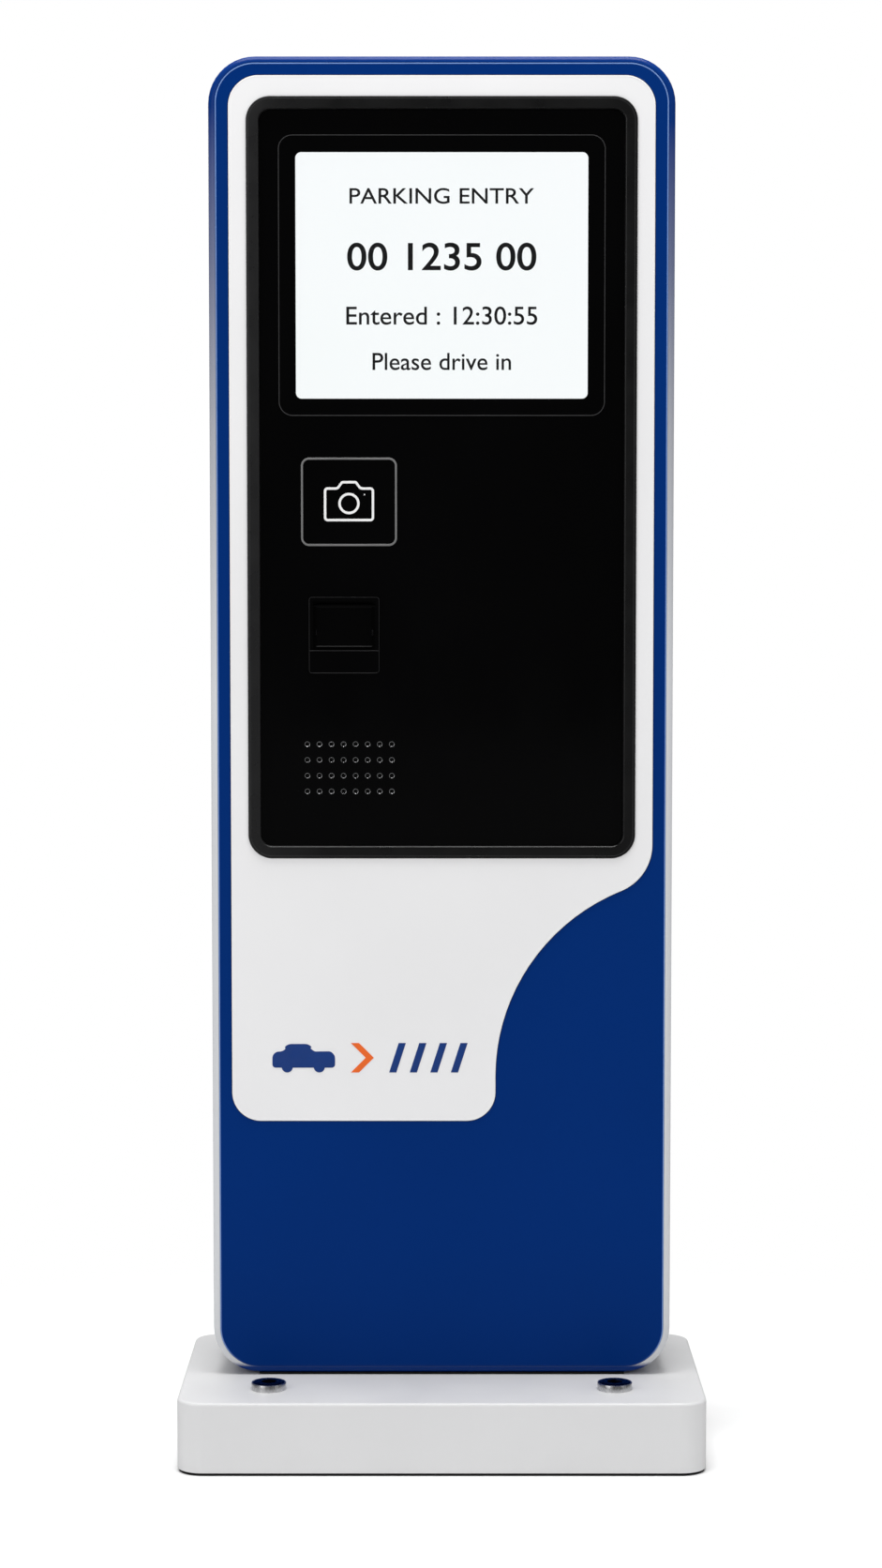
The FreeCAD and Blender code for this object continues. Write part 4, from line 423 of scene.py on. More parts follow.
def make_finishes(shades):
    """One material for each of the record's slots."""
    FINISHES.update({
        "white_powder_coat": powder_coat("white_powder_coat", shades.white_coat),
        "silver_blue_coat": faded_lacquer("silver_blue_coat", shades.silver, shades.blue),
        "blue_lacquer": lacquer("blue_lacquer", shades.blue),
        "white_overlay": powder_coat("white_overlay", shades.overlay_white, 0.34),
        "black_satin": satin_black("black_satin", shades.satin_black),
        "black_gloss": gloss_black("black_gloss", shades.gloss_black),
        "cover_glass": clear_glass("cover_glass"),
        "screen": lit_panel("screen"),
        "smoked_window": gloss_black("smoked_window", shades.gloss_black),
        "grey_trim": moulded("grey_trim", (0.15, 0.15, 0.15), 0.4),
        "black_plastic": moulded("black_plastic", (0.006, 0.006, 0.0065), 0.42),
        "rubber": rubber("rubber", (0.004, 0.004, 0.004)),
        "zinc_steel": metal("zinc_steel", (0.62, 0.63, 0.64), 0.32),
        "stainless": metal("stainless", (0.60, 0.60, 0.61), 0.28, (1, 1, 0.04), 900.0),
        "bolt_black": metal("bolt_black", (0.012, 0.016, 0.040), 0.22),
        "galvanised": metal("galvanised", (0.50, 0.52, 0.54), 0.42, spangle=70.0),
        "board_green": circuit_board("board_green"),
        "paper": paper("paper"),
        "aluminium": metal("aluminium", (0.66, 0.67, 0.69), 0.35, (0.05, 1, 1), 700.0),
        "light_grey_plastic": moulded("light_grey_plastic", (0.42, 0.43, 0.44), 0.45),
        "mesh_black": cloth("mesh_black"),
        "badge_navy": print_and_painted_line("badge_navy", shades.badge_navy),
        "badge_orange": print_and_painted_line("badge_orange", shades.badge_orange),
        # lettering print, and the painted shadow line round the overlay
        "ink_and_painted_shadow": print_and_painted_line("ink_and_painted_shadow", shades.ink_and_painted_shadow),
        # painted edge highlights: fine grey lines standing for light caught on edges
        "edge_highlight_grey": print_and_painted_line("edge_highlight_grey", (0.036, 0.036, 0.037)),
        "edge_highlight_dark": print_and_painted_line("edge_highlight_dark", (0.016, 0.016, 0.017)),
        # painted highlight round the blue face
        "face_edge_highlight": painted_edge_highlight("face_edge_highlight", (0.16, 0.27, 0.56), shades.blue),
        "polished_black": metal("polished_black", (0.42, 0.42, 0.43), 0.16),
        "icon_white": print_and_painted_line("icon_white", (0.82, 0.82, 0.82)),
    })


# ------------------------------------------------------------------ outlines
def bend(centre, radius, begin, end, count=24):
    """Points on an arc and their outward normals. A turn that runs clockwise is a
    hollow one, and its outward normals point at its centre."""
    angle = np.radians(np.linspace(begin, end, count))
    away = np.stack([np.cos(angle), np.sin(angle)], axis=1)
    return np.asarray(centre) + radius * away, away * (1 if end > begin else -1)


def outline(*bends):
    """A closed outline, counter-clockwise, from arcs that straight runs join."""
    points = np.concatenate([points for points, normals in bends])
    normals = np.concatenate([normals for points, normals in bends])
    return points, normals


def rounded_outline(low, high, corner, count=24):
    """A rounded rectangle between two opposite corners, in x and z."""
    (a, b), (c, d) = low, high
    return outline(bend((c - corner, b + corner), corner, -90, 0, count),
                   bend((c - corner, d - corner), corner, 0, 90, count),
                   bend((a + corner, d - corner), corner, 90, 180, count),
                   bend((a + corner, b + corner), corner, 180, 270, count))


def ring_outline(centre, radius, count=64):
    """A circle: its centre plus the radius along an angle."""
    angle = np.linspace(0, 2 * np.pi, count, endpoint=False)
    away = np.stack([np.cos(angle), np.sin(angle)], axis=1)
    return np.asarray(centre) + radius * away, away


def rolled(start, corner, end, count=6):
    """A quarter of an ellipse in a profile, from start to end round a corner:
    start + end - corner is its centre."""
    turn = np.linspace(0, np.pi / 2, count)[:, None]
    start, corner, end = map(np.asarray, (start, corner, end))
    centre = start + end - corner
    return list(centre + (start - centre) * np.cos(turn) + (end - centre) * np.sin(turn))


# ------------------------------------------------------------------ meshes
def ring_faces(steps, count, loop):
    """Quads between neighbouring rings of count points; a loop joins the last ring
    to the first."""
    rows, columns = np.arange(steps if loop else steps - 1)[:, None], np.arange(count)
    here, after, beside = rows * count, (rows + 1) % steps * count, (columns + 1) % count
    quads = np.stack([here + columns, here + beside, after + beside, after + columns],
                     axis=-1)
    return quads.reshape(-1, 4).tolist()


def band(shape, profile, loop=True):
    """Carries a profile of (inward, depth) pairs round an outline in x and z: each
    point is the outline's point, moved inward along its normal, at depth y.
    A looped profile closes on itself."""
    points, normals = shape
    profile = np.asarray(profile, float)
    flat = points[None, :, :] - profile[:, None, 0:1] * normals[None, :, :]
    grid = np.empty((len(profile), len(points), 3))
    grid[:, :, 0] = flat[:, :, 0]
    grid[:, :, 1] = profile[:, None, 1]
    grid[:, :, 2] = flat[:, :, 1]
    return grid.reshape(-1, 3), ring_faces(len(profile), len(points), loop)


def turned(profile, count, loop=False, flats=None):
    """Turns a profile of (radius, height) pairs about an upright axis: each point is
    the radius along an angle, at its height. Where flats says so, the radius is that
    of a hexagon: the flat's distance over the cosine of the angle from the middle of
    its side."""
    profile = np.asarray(profile, float)
    angle = np.linspace(0, 2 * np.pi, count, endpoint=False)
    hexed = 1 / np.cos((angle + np.pi / 6) % (np.pi / 3) - np.pi / 6)
    flats = np.zeros(len(profile), bool) if flats is None else np.asarray(flats, bool)
    radius = profile[:, 0, None] * np.where(flats[:, None], hexed, 1.0)
    grid = np.empty((len(profile), count, 3))
    grid[:, :, 0] = radius * np.cos(angle)
    grid[:, :, 1] = radius * np.sin(angle)
    grid[:, :, 2] = profile[:, 1, None]
    return grid.reshape(-1, 3), ring_faces(len(profile), count, loop)


def repeated(mesh, places):
    """Copies points and their quads to each of the places, as one mesh."""
    points, faces = mesh
    places = np.asarray(places, float)
    first = np.arange(len(places))[:, None, None] * len(points)
    return ((points[None] + places[:, None]).reshape(-1, 3),
            (np.asarray(faces)[None] + first).reshape(-1, 4).tolist())


def weld(mesh, reach=1e-6):
    """Makes points that coincide one, as at a pole or where two arcs meet."""
    work = bmesh.new()
    work.from_mesh(mesh)
    bmesh.ops.remove_doubles(work, verts=work.verts, dist=reach)
    work.to_mesh(mesh)
    work.free()


def seat(name, mesh, finish, stands_for=None):
    """Makes a mesh a piece that rides on the cabinet."""
    mesh.materials.append(FINISHES[finish])
    piece = bpy.data.objects.new(name, mesh)
    bpy.context.scene.collection.objects.link(piece)
    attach(piece, "cabinet")
    if stands_for:
        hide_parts(stands_for)


def finish_piece(name, shape, finish, stands_for=None, sharp=40.0):
    """Puts whole arrays of points and faces into a new piece in its place."""
    points, faces = shape
    mesh = bpy.data.meshes.new(name)
    mesh.from_pydata(points.tolist(), [], faces)
    weld(mesh)
    mesh.polygons.foreach_set("use_smooth", np.ones(len(mesh.polygons), dtype=bool))
    mesh.set_sharp_from_angle(angle=math.radians(sharp))
    seat(name, mesh, finish, stands_for)


def plate(shape, front, back, edge):
    """A flat plate with a rounded front edge: a band from the back face to the
    front one, closed by two flat faces."""
    profile = [(0.0, back)] + rolled((0.0, front + edge), (0.0, front), (edge, front))
    points, faces = band(shape, profile, loop=False)
    count = len(shape[0])
    last = len(profile) * count
    faces.append(list(range(count))[::-1])
    faces.append(list(range(last - count, last)))
    return points, faces


def frame_profile(width, front, back, edge):
    """A flat band with both front edges rounded, as a closed profile."""
    return ([(0.0, back)] + rolled((0.0, front + edge), (0.0, front), (edge, front))
            + rolled((width - edge, front), (width, front), (width, front + edge))
            + [(width, back)])


def outline_band(name, shape, wide, y, finish, proud=0.00012):
    """A fine line that stands a hair proud of a face, round an outline: here a painted
    highlight along an edge.
    """
    profile = frame_profile(wide, y - proud, y + proud, proud * 0.5)
    finish_piece(name, band(shape, profile), finish)


def front_of(node):
    """The depth of a node's front face."""
    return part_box(node)[0].y


def corners_of(node):
    """A node's opposite corners in x and z."""
    lo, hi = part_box(node)
    return (lo.x, lo.z), (hi.x, hi.z)


def within(pair, inset):
    """Two opposite corners, moved towards each other."""
    (a, b), (c, d) = pair
    return (a + inset, b + inset), (c - inset, d - inset)


# ------------------------------------------------------------------ operators
class StationOperator(Operator):
    """Shared by the station's operators."""
    bl_options = {"REGISTER", "UNDO"}

    @property
    def sizes(self):
        return bpy.context.scene.station_sizes

    @property
    def shades(self):
        return bpy.context.scene.station_colours


class STATION_OT_finishes(StationOperator):
    """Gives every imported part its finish"""
    bl_idname = "station.finishes"
    bl_label = "Finishes"

    def execute(self, context):
        make_finishes(self.shades)
        for part in frame["record"]["subparts"]:
            node = NODES[part["node"]]
            node.material_slots[0].link = "DATA"
            node.data.materials[0] = FINISHES[part["material_slot"]]
            for number in range(1, len(node.data.materials)):
                node.data.materials[number] = FINISHES[part["material_slot"]]
        return {"FINISHED"}


class STATION_OT_overlay(StationOperator):
    """Adds the rounded bead round the white overlay, and a painted shadow line along its
    edge on the blue face
    """
    bl_idname = "station.overlay"
    bl_label = "Overlay edge"

    def execute(self, context):
        sizes = self.sizes
        (left, foot), (right, head) = corners_of("front_overlay")
        lo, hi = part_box("front_overlay")
        waist = sizes.waist_side
        hollow, shoulder = sizes.sweep_hollow, sizes.sweep_shoulder
        rise = foot + sizes.waist_rise
        gap = waist + hollow - (right - shoulder)
        top = rise + math.sqrt((hollow + shoulder) ** 2 - gap ** 2)
        lean = math.degrees(math.atan2(top - rise, gap))
        toe, corner = sizes.overlay_toe, sizes.overlay_corner
        shape = outline(bend((waist - toe, foot + toe), toe, -90, 0),
                        bend((waist + hollow, rise), hollow, 180, 180 - lean, 60),
                        bend((right - shoulder, top), shoulder, -lean, 0),
                        bend((right - corner, head - corner), corner, 0, 90),
                        bend((left + corner, head - corner), corner, 90, 180),
                        bend((left + toe, foot + toe), toe, 180, 270))
        self.bead(shape, lo.y, hi.y, sizes.bead)
        # painted shadow: a thin dark band on the blue face just outside the overlay's edge
        line = sizes.line * 0.9
        proud, sunk = hi.y - 0.00008, hi.y + 0.0001
        shadow_band = [(-line, sunk), (-line, proud), (0.0, proud), (0.0, sunk)]
        finish_piece("overlay_shadow_line", band(shape, shadow_band), "ink_and_painted_shadow")
        return {"FINISHED"}

    def bead(self, shape, front, back, wide):
        """A low rib along the edge: a round outer side, a flat top a little proud of
        the face, and a round inner side."""
        outer, inner, top = -wide * 0.15, wide * 2.2, front - wide * 0.15
        profile = ([(outer, back)]
                   + rolled((outer, front + wide), (outer, top), (wide, top))
                   + rolled((wide * 1.2, top), (inner, top), (inner, front + wide * 0.1))
                   + [(inner, back)])
        finish_piece("overlay_bead", band(shape, profile), "white_overlay")


class STATION_OT_bezel(StationOperator):
    """Makes the black frame with rounded edges, a painted highlight line on it, and a
    painted highlight line round the face
    """
    bl_idname = "station.bezel"
    bl_label = "Black frame"

    def execute(self, context):
        sizes = self.sizes
        lo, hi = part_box("bezel_frame")
        corners = corners_of("bezel_frame")
        wide, edge = sizes.frame_band, sizes.frame_edge
        sleeve, proud = wide - 0.002, lo.y + 0.002
        profile = ([(0.0, proud)]
                   + rolled((0.0, lo.y + edge * 0.7), (0.0, lo.y), (edge, lo.y))
                   + rolled((wide - edge * 1.3, lo.y), (wide, lo.y),
                            (wide, lo.y + edge * 1.5), 9)
                   + [(wide, hi.y), (sleeve, hi.y), (sleeve, proud)])
        shape = rounded_outline(*corners, sizes.frame_corner, 32)
        finish_piece("frame_band", band(shape, profile), "black_satin",
                     stands_for="bezel_frame")
        # painted highlight: a fine grey line just inside the frame's rounded outer edge
        inset = edge + sizes.line
        shape = rounded_outline(*within(corners, inset), sizes.frame_corner - inset, 32)
        outline_band("frame_line", shape, sizes.line * 0.5, lo.y, "edge_highlight_grey")
        # painted highlight: a lighter blue line round the blue face's edge, fading out
        # along the bottom
        shape = rounded_outline(*corners_of("front_panel"), sizes.face_corner, 32)
        outline_band("face_line", shape, sizes.line * 1.4, front_of("front_panel"),
                     "face_edge_highlight")
        return {"FINISHED"}


class STATION_OT_screen(StationOperator):
    """Makes the screen surround and the lit picture with its lines of text"""
    bl_idname = "station.screen"
    bl_label = "Screen"

    def execute(self, context):
        sizes = self.sizes
        self.surround(sizes)
        self.picture(sizes)
        return {"FINISHED"}

    def surround(self, sizes):
        """A plate with a rounded outer edge and an opening over the lit screen: the
        outer and the inner wall, joined by flat faces in front and behind."""
        lo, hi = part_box("display_rim")
        front, back, thick = lo.y, hi.y, hi.y - lo.y
        shape = rounded_outline(*corners_of("display_rim"), sizes.rim_corner)
        lit = within(corners_of("lcd_panel"), sizes.lit_margin)
        opening = rounded_outline(*lit, sizes.lit_corner)
        outer, outer_faces = band(shape, [(0.0, back)] + rolled(
            (0.0, front + thick * 0.7), (0.0, front), (thick * 0.8, front)), loop=False)
        inner, inner_faces = band(opening, rolled(
            (-thick * 0.5, front), (0.0, front), (0.0, front + thick * 0.5))
            + [(0.0, back)], loop=False)
        count, first = len(shape[0]), len(outer)
        ends = ((first - count, first), (first + len(inner) - count, 0))
        faces = outer_faces + [[i + first for i in face] for face in inner_faces]
        for here, after in ends:
            faces += [[here + i, here + (i + 1) % count, after + (i + 1) % count,
                       after + i] for i in range(count)]
        finish_piece("screen_surround", (np.concatenate([outer, inner]), faces),
                     "black_gloss", stands_for="display_rim")
        # painted highlight: a fine grey line round the surround's outer edge, standing for
        # light caught there
        outline_band("screen_outline", shape, sizes.line, front, "edge_highlight_grey")

    def picture(self, sizes):
        """The lit area, a hair in front of its panel, and its four lines of text."""
        front = front_of("lcd_panel")
        lit = within(corners_of("lcd_panel"), sizes.lit_margin - 0.001)
        (left, foot), (right, head) = lit
        shape = rounded_outline(*lit, sizes.lit_corner)
        finish_piece("lit_picture", plate(shape, front - 0.0003, front, 0.0001),
                     "screen")
        NODES["lcd_panel"].data.materials[0] = FINISHES["black_plastic"]
        lines = bpy.context.scene.station_texts
        # words, share of the height down, width, capitals' height, how bold
        rows = ((lines.first, 0.178, 0.190, 0.0155, 0.006),
                (lines.second, 0.422, 0.195, 0.0270, 0.010),
                (lines.third, 0.660, 0.197, 0.0180, 0.006),
                (lines.fourth, 0.845, 0.143, 0.0172, 0.006))
        for number, (words, drop, wide, cap, bold) in enumerate(rows, start=1):
            middle = ((left + right) / 2, front - 0.0004, head - drop * (head - foot))
            self.letter_line("screen_line_%d" % number, words, middle, wide, cap, bold)

    def letter_line(self, name, words, middle, wide, cap, bold):
        """One line of lettering: set in the built-in face, scaled to its width and
        its capitals' height, and stood up in x and z."""
        cap_share, thick = 0.682, 0.0001
        curve = bpy.data.curves.new(name, "FONT")
        curve.body = words
        curve.extrude = 0.02
        curve.offset = bold
        setter = bpy.data.objects.new(name, curve)
        bpy.context.scene.collection.objects.link(setter)
        bpy.context.view_layer.update()
        mesh = bpy.data.meshes.new_from_object(setter)
        bpy.data.objects.remove(setter)
        flat = np.empty(len(mesh.vertices) * 3)
        mesh.vertices.foreach_get("co", flat)
        flat = flat.reshape(-1, 3)
        low, high = flat.min(axis=0), flat.max(axis=0)
        across, over = wide / (high[0] - low[0]), cap / cap_share
        placed = np.empty_like(flat)
        placed[:, 0] = middle[0] + (flat[:, 0] - (low[0] + high[0]) / 2) * across
        placed[:, 1] = middle[1] - (flat[:, 2] - low[2]) / (high[2] - low[2]) * thick
        placed[:, 2] = middle[2] + (flat[:, 1] - cap_share / 2) * over
        mesh.vertices.foreach_set("co", placed.ravel())
        mesh.update()
        weld(mesh)
        mesh.materials.clear()
        seat(name, mesh, "ink_and_painted_shadow")


class STATION_OT_camera_pad(StationOperator):
    """Makes the camera's surround and the camera symbol on its window"""
    bl_idname = "station.camera_pad"
    bl_label = "Camera pad"

    def execute(self, context):
        sizes = self.sizes
        lo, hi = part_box("camera_surround")
        shape = rounded_outline(*corners_of("camera_surround"), sizes.camera_corner)
        profile = frame_profile(sizes.camera_line, lo.y, hi.y, 0.0004)
        finish_piece("camera_band", band(shape, profile), "grey_trim",
                     stands_for="camera_surround")
        self.symbol((lo.x + hi.x) / 2, (lo.z + hi.z) / 2, front_of("camera_window"))
        return {"FINISHED"}

    def symbol(self, x, z, y):
        """A camera in outline: a rounded body with a hump, a lens ring and a dot."""
        line, front, back, edge = 0.0025, y - 0.0003, y + 0.00005, 0.0001
        corner, hollow, crest = 0.004, 0.0030, 0.0025
        left, right, foot, head = x - 0.026, x + 0.026, z - 0.020, z + 0.015
        start, end, hump = x - 0.011, x + 0.011, z + 0.0215
        body = outline(
            bend((right - corner, foot + corner), corner, -90, 0, 10),
            bend((right - corner, head - corner), corner, 0, 90, 10),
            bend((end + hollow, head + hollow), hollow, 270, 205, 6),
            bend((end - 0.0045, hump - crest), crest, 25, 90, 6),
            bend((start + 0.0045, hump - crest), crest, 90, 155, 6),
            bend((start - hollow, head + hollow), hollow, 335, 270, 6),
            bend((left + corner, head - corner), corner, 90, 180, 10),
            bend((left + corner, foot + corner), corner, 180, 270, 10))
        profile = frame_profile(line, front, back, edge)
        for name, shape in (("camera_symbol_body", body),
                            ("camera_symbol_lens", ring_outline((x, z - 0.0017), 0.0110))):
            finish_piece(name, band(shape, profile), "icon_white")
        dot = ring_outline((x + 0.0160, z + 0.0075), 0.0007, 20)
        finish_piece("camera_symbol_dot", plate(dot, front, back, edge), "icon_white")


class STATION_OT_ticket_mouth(StationOperator):
    """Adds painted highlight lines along the fine edges of the ticket mouth"""
    bl_idname = "station.ticket_mouth"
    bl_label = "Ticket mouth"

    def execute(self, context):
        line, ends, ledge = self.sizes.line * 0.5, 0.004, 0.0233
        lo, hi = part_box("ticket_bezel")
        for node in ("ticket_bezel", "ticket_flap", "flap_pin"):
            NODES[node].data.materials[0] = FINISHES["black_gloss"]
        shape = rounded_outline(*corners_of("ticket_bezel"), 0.003, 12)
        # painted highlights: fine grey lines along the mouth's outline, its dividing edge
        # and its foot
        outline_band("ticket_outline", shape, line, lo.y, "edge_highlight_dark")
        self.rule("ticket_divide", lo.x + line, hi.x - line, lo.z + ledge, line, lo.y)
        self.rule("ticket_foot", lo.x + ends, hi.x - ends, lo.z + line / 2, line, lo.y)
        return {"FINISHED"}

    def rule(self, name, left, right, z, tall, y):
        """A straight fine line with round ends: a painted highlight along an edge."""
        half = tall / 2
        shape = rounded_outline((left, z - half), (right, z + half), half * 0.98, 6)
        finish_piece(name, plate(shape, y - 0.00015, y + 0.0001, 0.00005), "edge_highlight_grey")


class STATION_OT_grille(StationOperator):
    """Adds a polished dished rim to every hole of the speaker grille"""
    bl_idname = "station.grille"
    bl_label = "Grille rims"

    def execute(self, context):
        sizes = self.sizes
        columns, rows, radius = 8, 4, 0.0029
        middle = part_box("bezel_frame")[1].z - sizes.grille_drop
        x = (np.arange(columns) - (columns - 1) / 2) * sizes.grille_step
        z = (np.arange(rows) - (rows - 1) / 2) * sizes.grille_fall
        across, up = np.meshgrid(x - sizes.grille_side, z + middle)
        places = np.stack([across.ravel(), np.full(across.size, front_of("fascia_panel")),
                           up.ravel()], axis=1)
        # inward from the rim, and depth behind the face: a lip, then the dish
        profile = [(0.0, 0.0001), (0.0, -0.00008), (0.0001, -0.0001), (0.0003, -0.00003),
                   (0.0006, 0.00012), (0.0008, 0.0004), (0.0008, 0.0010)]
        rim = band(ring_outline((0.0, 0.0), radius, 20), profile)
        finish_piece("grille_rims", repeated(rim, places), "polished_black")
        return {"FINISHED"}


class STATION_OT_anchors(StationOperator):
    """Makes the four anchors: dark domed heads with a hex socket, in bright cups"""
    bl_idname = "station.anchors"
    bl_label = "Anchors"

    def execute(self, context):
        places = self.seats("anchor_cups")
        ledge, foot = places[0][2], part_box("anchor_bolts")[0].z
        cup = [(0.0165, 0.0002), (0.0180, 0.0002), (0.0180, 0.0064), (0.0177, 0.0070),
               (0.0171, 0.0072), (0.0165, 0.0070)]
        finish_piece("anchor_cups_bright", repeated(turned(cup, 56, loop=True), places),
                     "stainless", stands_for="anchor_cups", sharp=30)
        shank = [(0.0, foot - ledge), (0.0080, foot - ledge), (0.0080, 0.0)]
        dome = [(0.0164, 0.0004), (0.0168, 0.0068), (0.0160, 0.0074), (0.0120, 0.0079),
                (0.0100, 0.0080)]
        socket = [(0.0078, 0.0080), (0.0074, 0.0077), (0.0070, 0.0040), (0.0, 0.0036)]
        hexed = [False] * len(shank + dome) + [True] * 3 + [False]
        head = turned(shank + dome + socket, 48, flats=hexed)
        finish_piece("anchor_heads", repeated(head, places), "bolt_black",
                     stands_for="anchor_bolts", sharp=30)
        return {"FINISHED"}

    def seats(self, node):
        """The middle and foot of each of the node's four parts, one to a quarter of
        the plan, front pair first."""
        mesh = NODES[node].data
        points = np.empty(len(mesh.vertices) * 3)
        mesh.vertices.foreach_get("co", points)
        points = points.reshape(-1, 3)
        middle = (points.min(0) + points.max(0)) / 2
        places = []
        for rear in (False, True):
            for right in (False, True):
                part = points[((points[:, 1] > middle[1]) == rear)
                              & ((points[:, 0] > middle[0]) == right)]
                centre = (part.min(0) + part.max(0)) / 2
                places.append((centre[0], centre[1], part[:, 2].min()))
        return places


class STATION_OT_badge(StationOperator):
    """Adds a generic pictogram to the overlay: a car, an arrow and bay marks"""
    bl_idname = "station.badge"
    bl_label = "Pictogram"

    def execute(self, context):
        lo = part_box("front_overlay")[0]
        left, base, tall = -0.177, lo.z + 0.051, 0.031
        arrow, bays, pitch = left + 0.082, left + 0.122, 0.0215
        self.car(left, base, lo.y)
        self.arrow(arrow, base, tall, lo.y)
        for number in range(4):
            self.leaning_bar("badge_bay_%d" % (number + 1), bays + number * pitch, base,
                             tall, lo.y)
        return {"FINISHED"}

    def put(self, name, shape, face, finish):
        """A thin plate of a mark, most of it proud of the face."""
        finish_piece(name, plate(shape, face - 0.0003, face + 0.0001, 0.0001), finish)

    def car(self, x, z, face):
        """A car from the side: a low body with rounded ends and a cabin on it."""
        body = outline(bend((x + 0.062, z + 0.0085), 0.0035, -90, 0, 8),
                       bend((x + 0.0575, z + 0.0145), 0.0080, 0, 75, 10),
                       bend((x + 0.0480, z + 0.0315), 0.0100, 250, 215, 8),
                       bend((x + 0.0340, z + 0.0210), 0.0090, 40, 90, 10),
                       bend((x + 0.0200, z + 0.0210), 0.0090, 90, 140, 10),
                       bend((x + 0.0075, z + 0.0300), 0.0080, 320, 275, 8),
                       bend((x + 0.0070, z + 0.0150), 0.0070, 95, 180, 10),
                       bend((x + 0.0035, z + 0.0085), 0.0035, 180, 270, 8))
        self.put("badge_car", body, face, "badge_navy")
        wheel = 0.0058
        for number, across in enumerate((0.0155, 0.0490), start=1):
            self.put("badge_wheel_%d" % number, ring_outline((x + across, z + wheel),
                                                             wheel, 40),
                     face - 0.0001, "badge_navy")

    def leaning_bar(self, name, x, z, tall, face):
        """A bay line: a bar that leans right."""
        wide, lean = 0.0075, 0.010
        points = np.array([(x, z), (x + wide, z), (x + wide + lean, z + tall),
                           (x + lean, z + tall)])
        away = np.array([(-0.7, -0.7), (0.7, -0.7), (0.7, 0.7), (-0.7, 0.7)])
        self.put(name, (points, away), face, "badge_navy")

    def arrow(self, x, z, tall, face):
        """An orange chevron that points right."""
        wide, reach, middle = 0.0085, 0.0155, z + tall / 2
        points = np.array([(x, z), (x + wide, z), (x + wide + reach, middle),
                           (x + wide, z + tall), (x, z + tall), (x + reach, middle)])
        away = np.array([(-0.7, -0.7), (0.5, -0.7), (0.9, 0.0), (0.5, 0.7), (-0.7, 0.7),
                         (-0.9, 0.0)])
        self.put("badge_arrow", (points, away), face, "badge_orange")


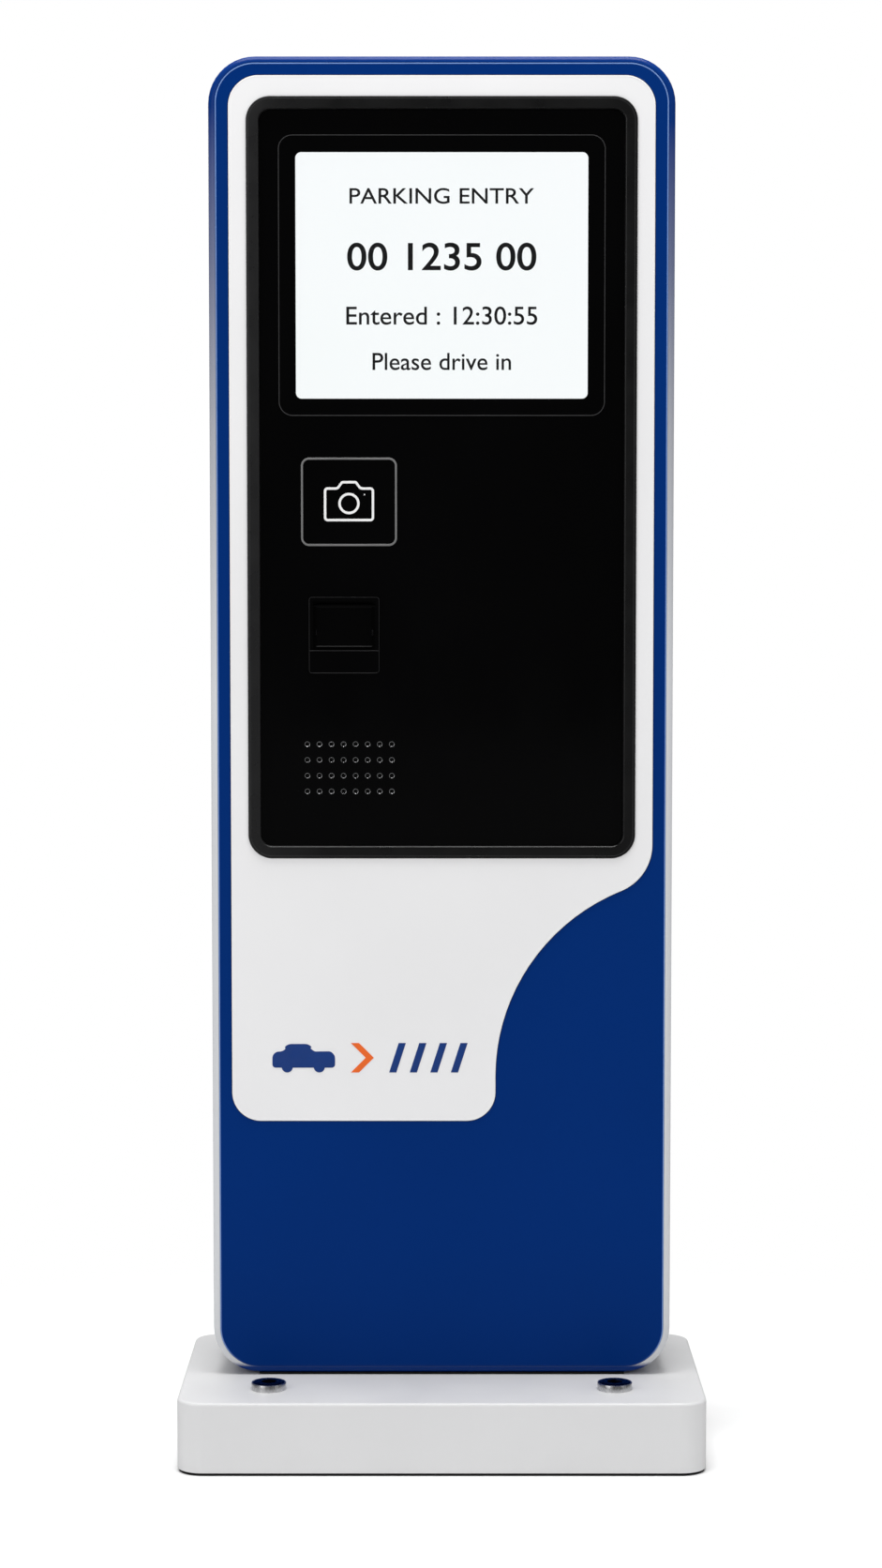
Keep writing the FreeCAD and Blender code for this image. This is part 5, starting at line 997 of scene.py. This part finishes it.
class STATION_OT_stage(StationOperator):
    """Sets the pale floor, the soft lights and the camera"""
    bl_idname = "station.stage"
    bl_label = "Stage"

    def execute(self, context):
        self.floor()
        self.world()
        # name, place, what it points at, width, height, watts
        for lamp in (("key", (-2.6, -2.8, 1.6), (0, 0, 0.45), 2.2, 2.4, 26),
                     ("fill", (2.9, -2.0, 1.6), (0, 0, 0.7), 1.6, 2.4, 5),
                     ("overhead", (0.0, -0.28, 3.4), (0, 0, 0.1), 2.0, 1.4, 98),
                     ("rim", (-0.6, 3.0, 2.4), (0, 0, 0.8), 2.4, 1.6, 30)):
            self.lamp(*lamp)
        self.camera()
        return {"FINISHED"}

    def floor(self):
        """Pale near the foot, fading to plain white, and darker where gloss mirrors
        it."""
        span, near, far = 14.0, 0.42, 1.1
        corners = [(-span, -span, 0), (span, -span, 0), (span, span, 0), (-span, span, 0)]
        mesh = bpy.data.meshes.new("floor")
        mesh.from_pydata(corners, [], [(0, 1, 2, 3)])
        made = Finish("floor", Roughness=0.85, Specular_IOR_Level=0.0)
        made.mottle((0.93, 0.93, 0.93), 0.01, 1.2)
        away = made.node("VectorMath", {"operation": "LENGTH"},
                         i0=made.place((1.0, 1.3, 1.0))).outputs["Value"]
        fade = made.node("MapRange", {"interpolation_type": "SMOOTHSTEP"}, Value=away,
                         From_Min=near, From_Max=far).outputs["Result"]
        white = made.node("Emission", Color=(1, 1, 1, 1), Strength=1.0).outputs[0]
        dark = made.node("BsdfDiffuse", Color=(0, 0, 0, 1)).outputs[0]
        pale = made.node("MixShader", i0=fade, i1=made.shader.outputs[0],
                         i2=white).outputs[0]
        mirrored = made.work("MULTIPLY", made.node("LightPath").outputs["Is Glossy Ray"],
                             0.8)
        both = made.node("MixShader", i0=mirrored, i1=pale, i2=dark).outputs[0]
        output = made.tree.nodes["Material Output"]
        made.tree.links.new(both, output.inputs["Surface"])
        mesh.materials.append(made.material)
        floor = bpy.data.objects.new("floor", mesh)
        bpy.context.scene.collection.objects.link(floor)

    def world(self):
        """White where the camera looks past the object, soft grey for the light
        that falls on it, and darker where it mirrors in gloss."""
        ambient, mirrored = 0.52, 0.10
        world = bpy.data.worlds.new("studio")
        world.use_nodes = True
        tree = world.node_tree
        back = tree.nodes["Background"]
        back.inputs["Color"].default_value = (1, 1, 1, 1)
        path = tree.nodes.new("ShaderNodeLightPath")
        dim = tree.nodes.new("ShaderNodeMix")
        dim.inputs["A"].default_value = ambient
        dim.inputs["B"].default_value = mirrored
        tree.links.new(path.outputs["Is Glossy Ray"], dim.inputs["Factor"])
        lift = tree.nodes.new("ShaderNodeMix")
        lift.inputs["B"].default_value = 1.0
        tree.links.new(path.outputs["Is Camera Ray"], lift.inputs["Factor"])
        tree.links.new(dim.outputs["Result"], lift.inputs["A"])
        tree.links.new(lift.outputs["Result"], back.inputs["Strength"])
        bpy.context.scene.world = world
        bpy.context.scene.view_settings.view_transform = "Standard"

    def lamp(self, name, place, target, wide, tall, power):
        """A rectangular lamp that the camera doesn't see, pointed at a target."""
        light = bpy.data.lights.new(name, "AREA")
        light.shape = "RECTANGLE"
        light.size, light.size_y, light.energy = wide, tall, power
        lamp = bpy.data.objects.new(name, light)
        bpy.context.scene.collection.objects.link(lamp)
        lamp.location = place
        aim = Vector(target) - lamp.location
        lamp.rotation_euler = aim.to_track_quat("-Z", "Y").to_euler()
        lamp.visible_camera = False

    def camera(self):
        """Stands in front of the column, a little above its middle, tipped down."""
        side, distance, height, tip = -0.0008, 3.339, 0.928, 3.94
        lens = bpy.data.cameras.new("camera")
        lens.sensor_width, lens.lens = 36.0, 73.97
        camera = bpy.data.objects.new("camera", lens)
        bpy.context.scene.collection.objects.link(camera)
        camera.location = (side, front_of("front_panel") - distance, height)
        camera.rotation_euler = (math.radians(90 - tip), 0, 0)
        bpy.context.scene.camera = camera


class STATION_PT_panel(Panel):
    """Lists the station's steps in the sidebar"""
    bl_idname = "STATION_PT_panel"
    bl_label = "Parking station"
    bl_space_type = "VIEW_3D"
    bl_region_type = "UI"
    bl_category = "Station"

    def draw(self, context):
        for step in STEPS:
            self.layout.operator(step.bl_idname)


GROUPS = (("station_sizes", StationSizes), ("station_colours", StationColours),
          ("station_texts", StationTexts))
STEPS = (STATION_OT_finishes, STATION_OT_overlay, STATION_OT_bezel, STATION_OT_screen,
         STATION_OT_camera_pad, STATION_OT_ticket_mouth, STATION_OT_grille,
         STATION_OT_anchors, STATION_OT_badge, STATION_OT_stage)


def register():
    """Registers the groups, the steps and the panel."""
    for name, group in GROUPS:
        bpy.utils.register_class(group)
        setattr(bpy.types.Scene, name, PointerProperty(type=group))
    for step in (*STEPS, STATION_PT_panel):
        bpy.utils.register_class(step)


def unregister():
    """Takes them off again, last first."""
    for step in (STATION_PT_panel, *reversed(STEPS)):
        bpy.utils.unregister_class(step)
    for name, group in reversed(GROUPS):
        delattr(bpy.types.Scene, name)
        bpy.utils.unregister_class(group)


def main():
    """Runs the steps in order."""
    register()
    for step in STEPS:
        group, name = step.bl_idname.split(".")
        getattr(getattr(bpy.ops, group), name)()
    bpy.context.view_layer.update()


if __name__ == "__main__":
    main()
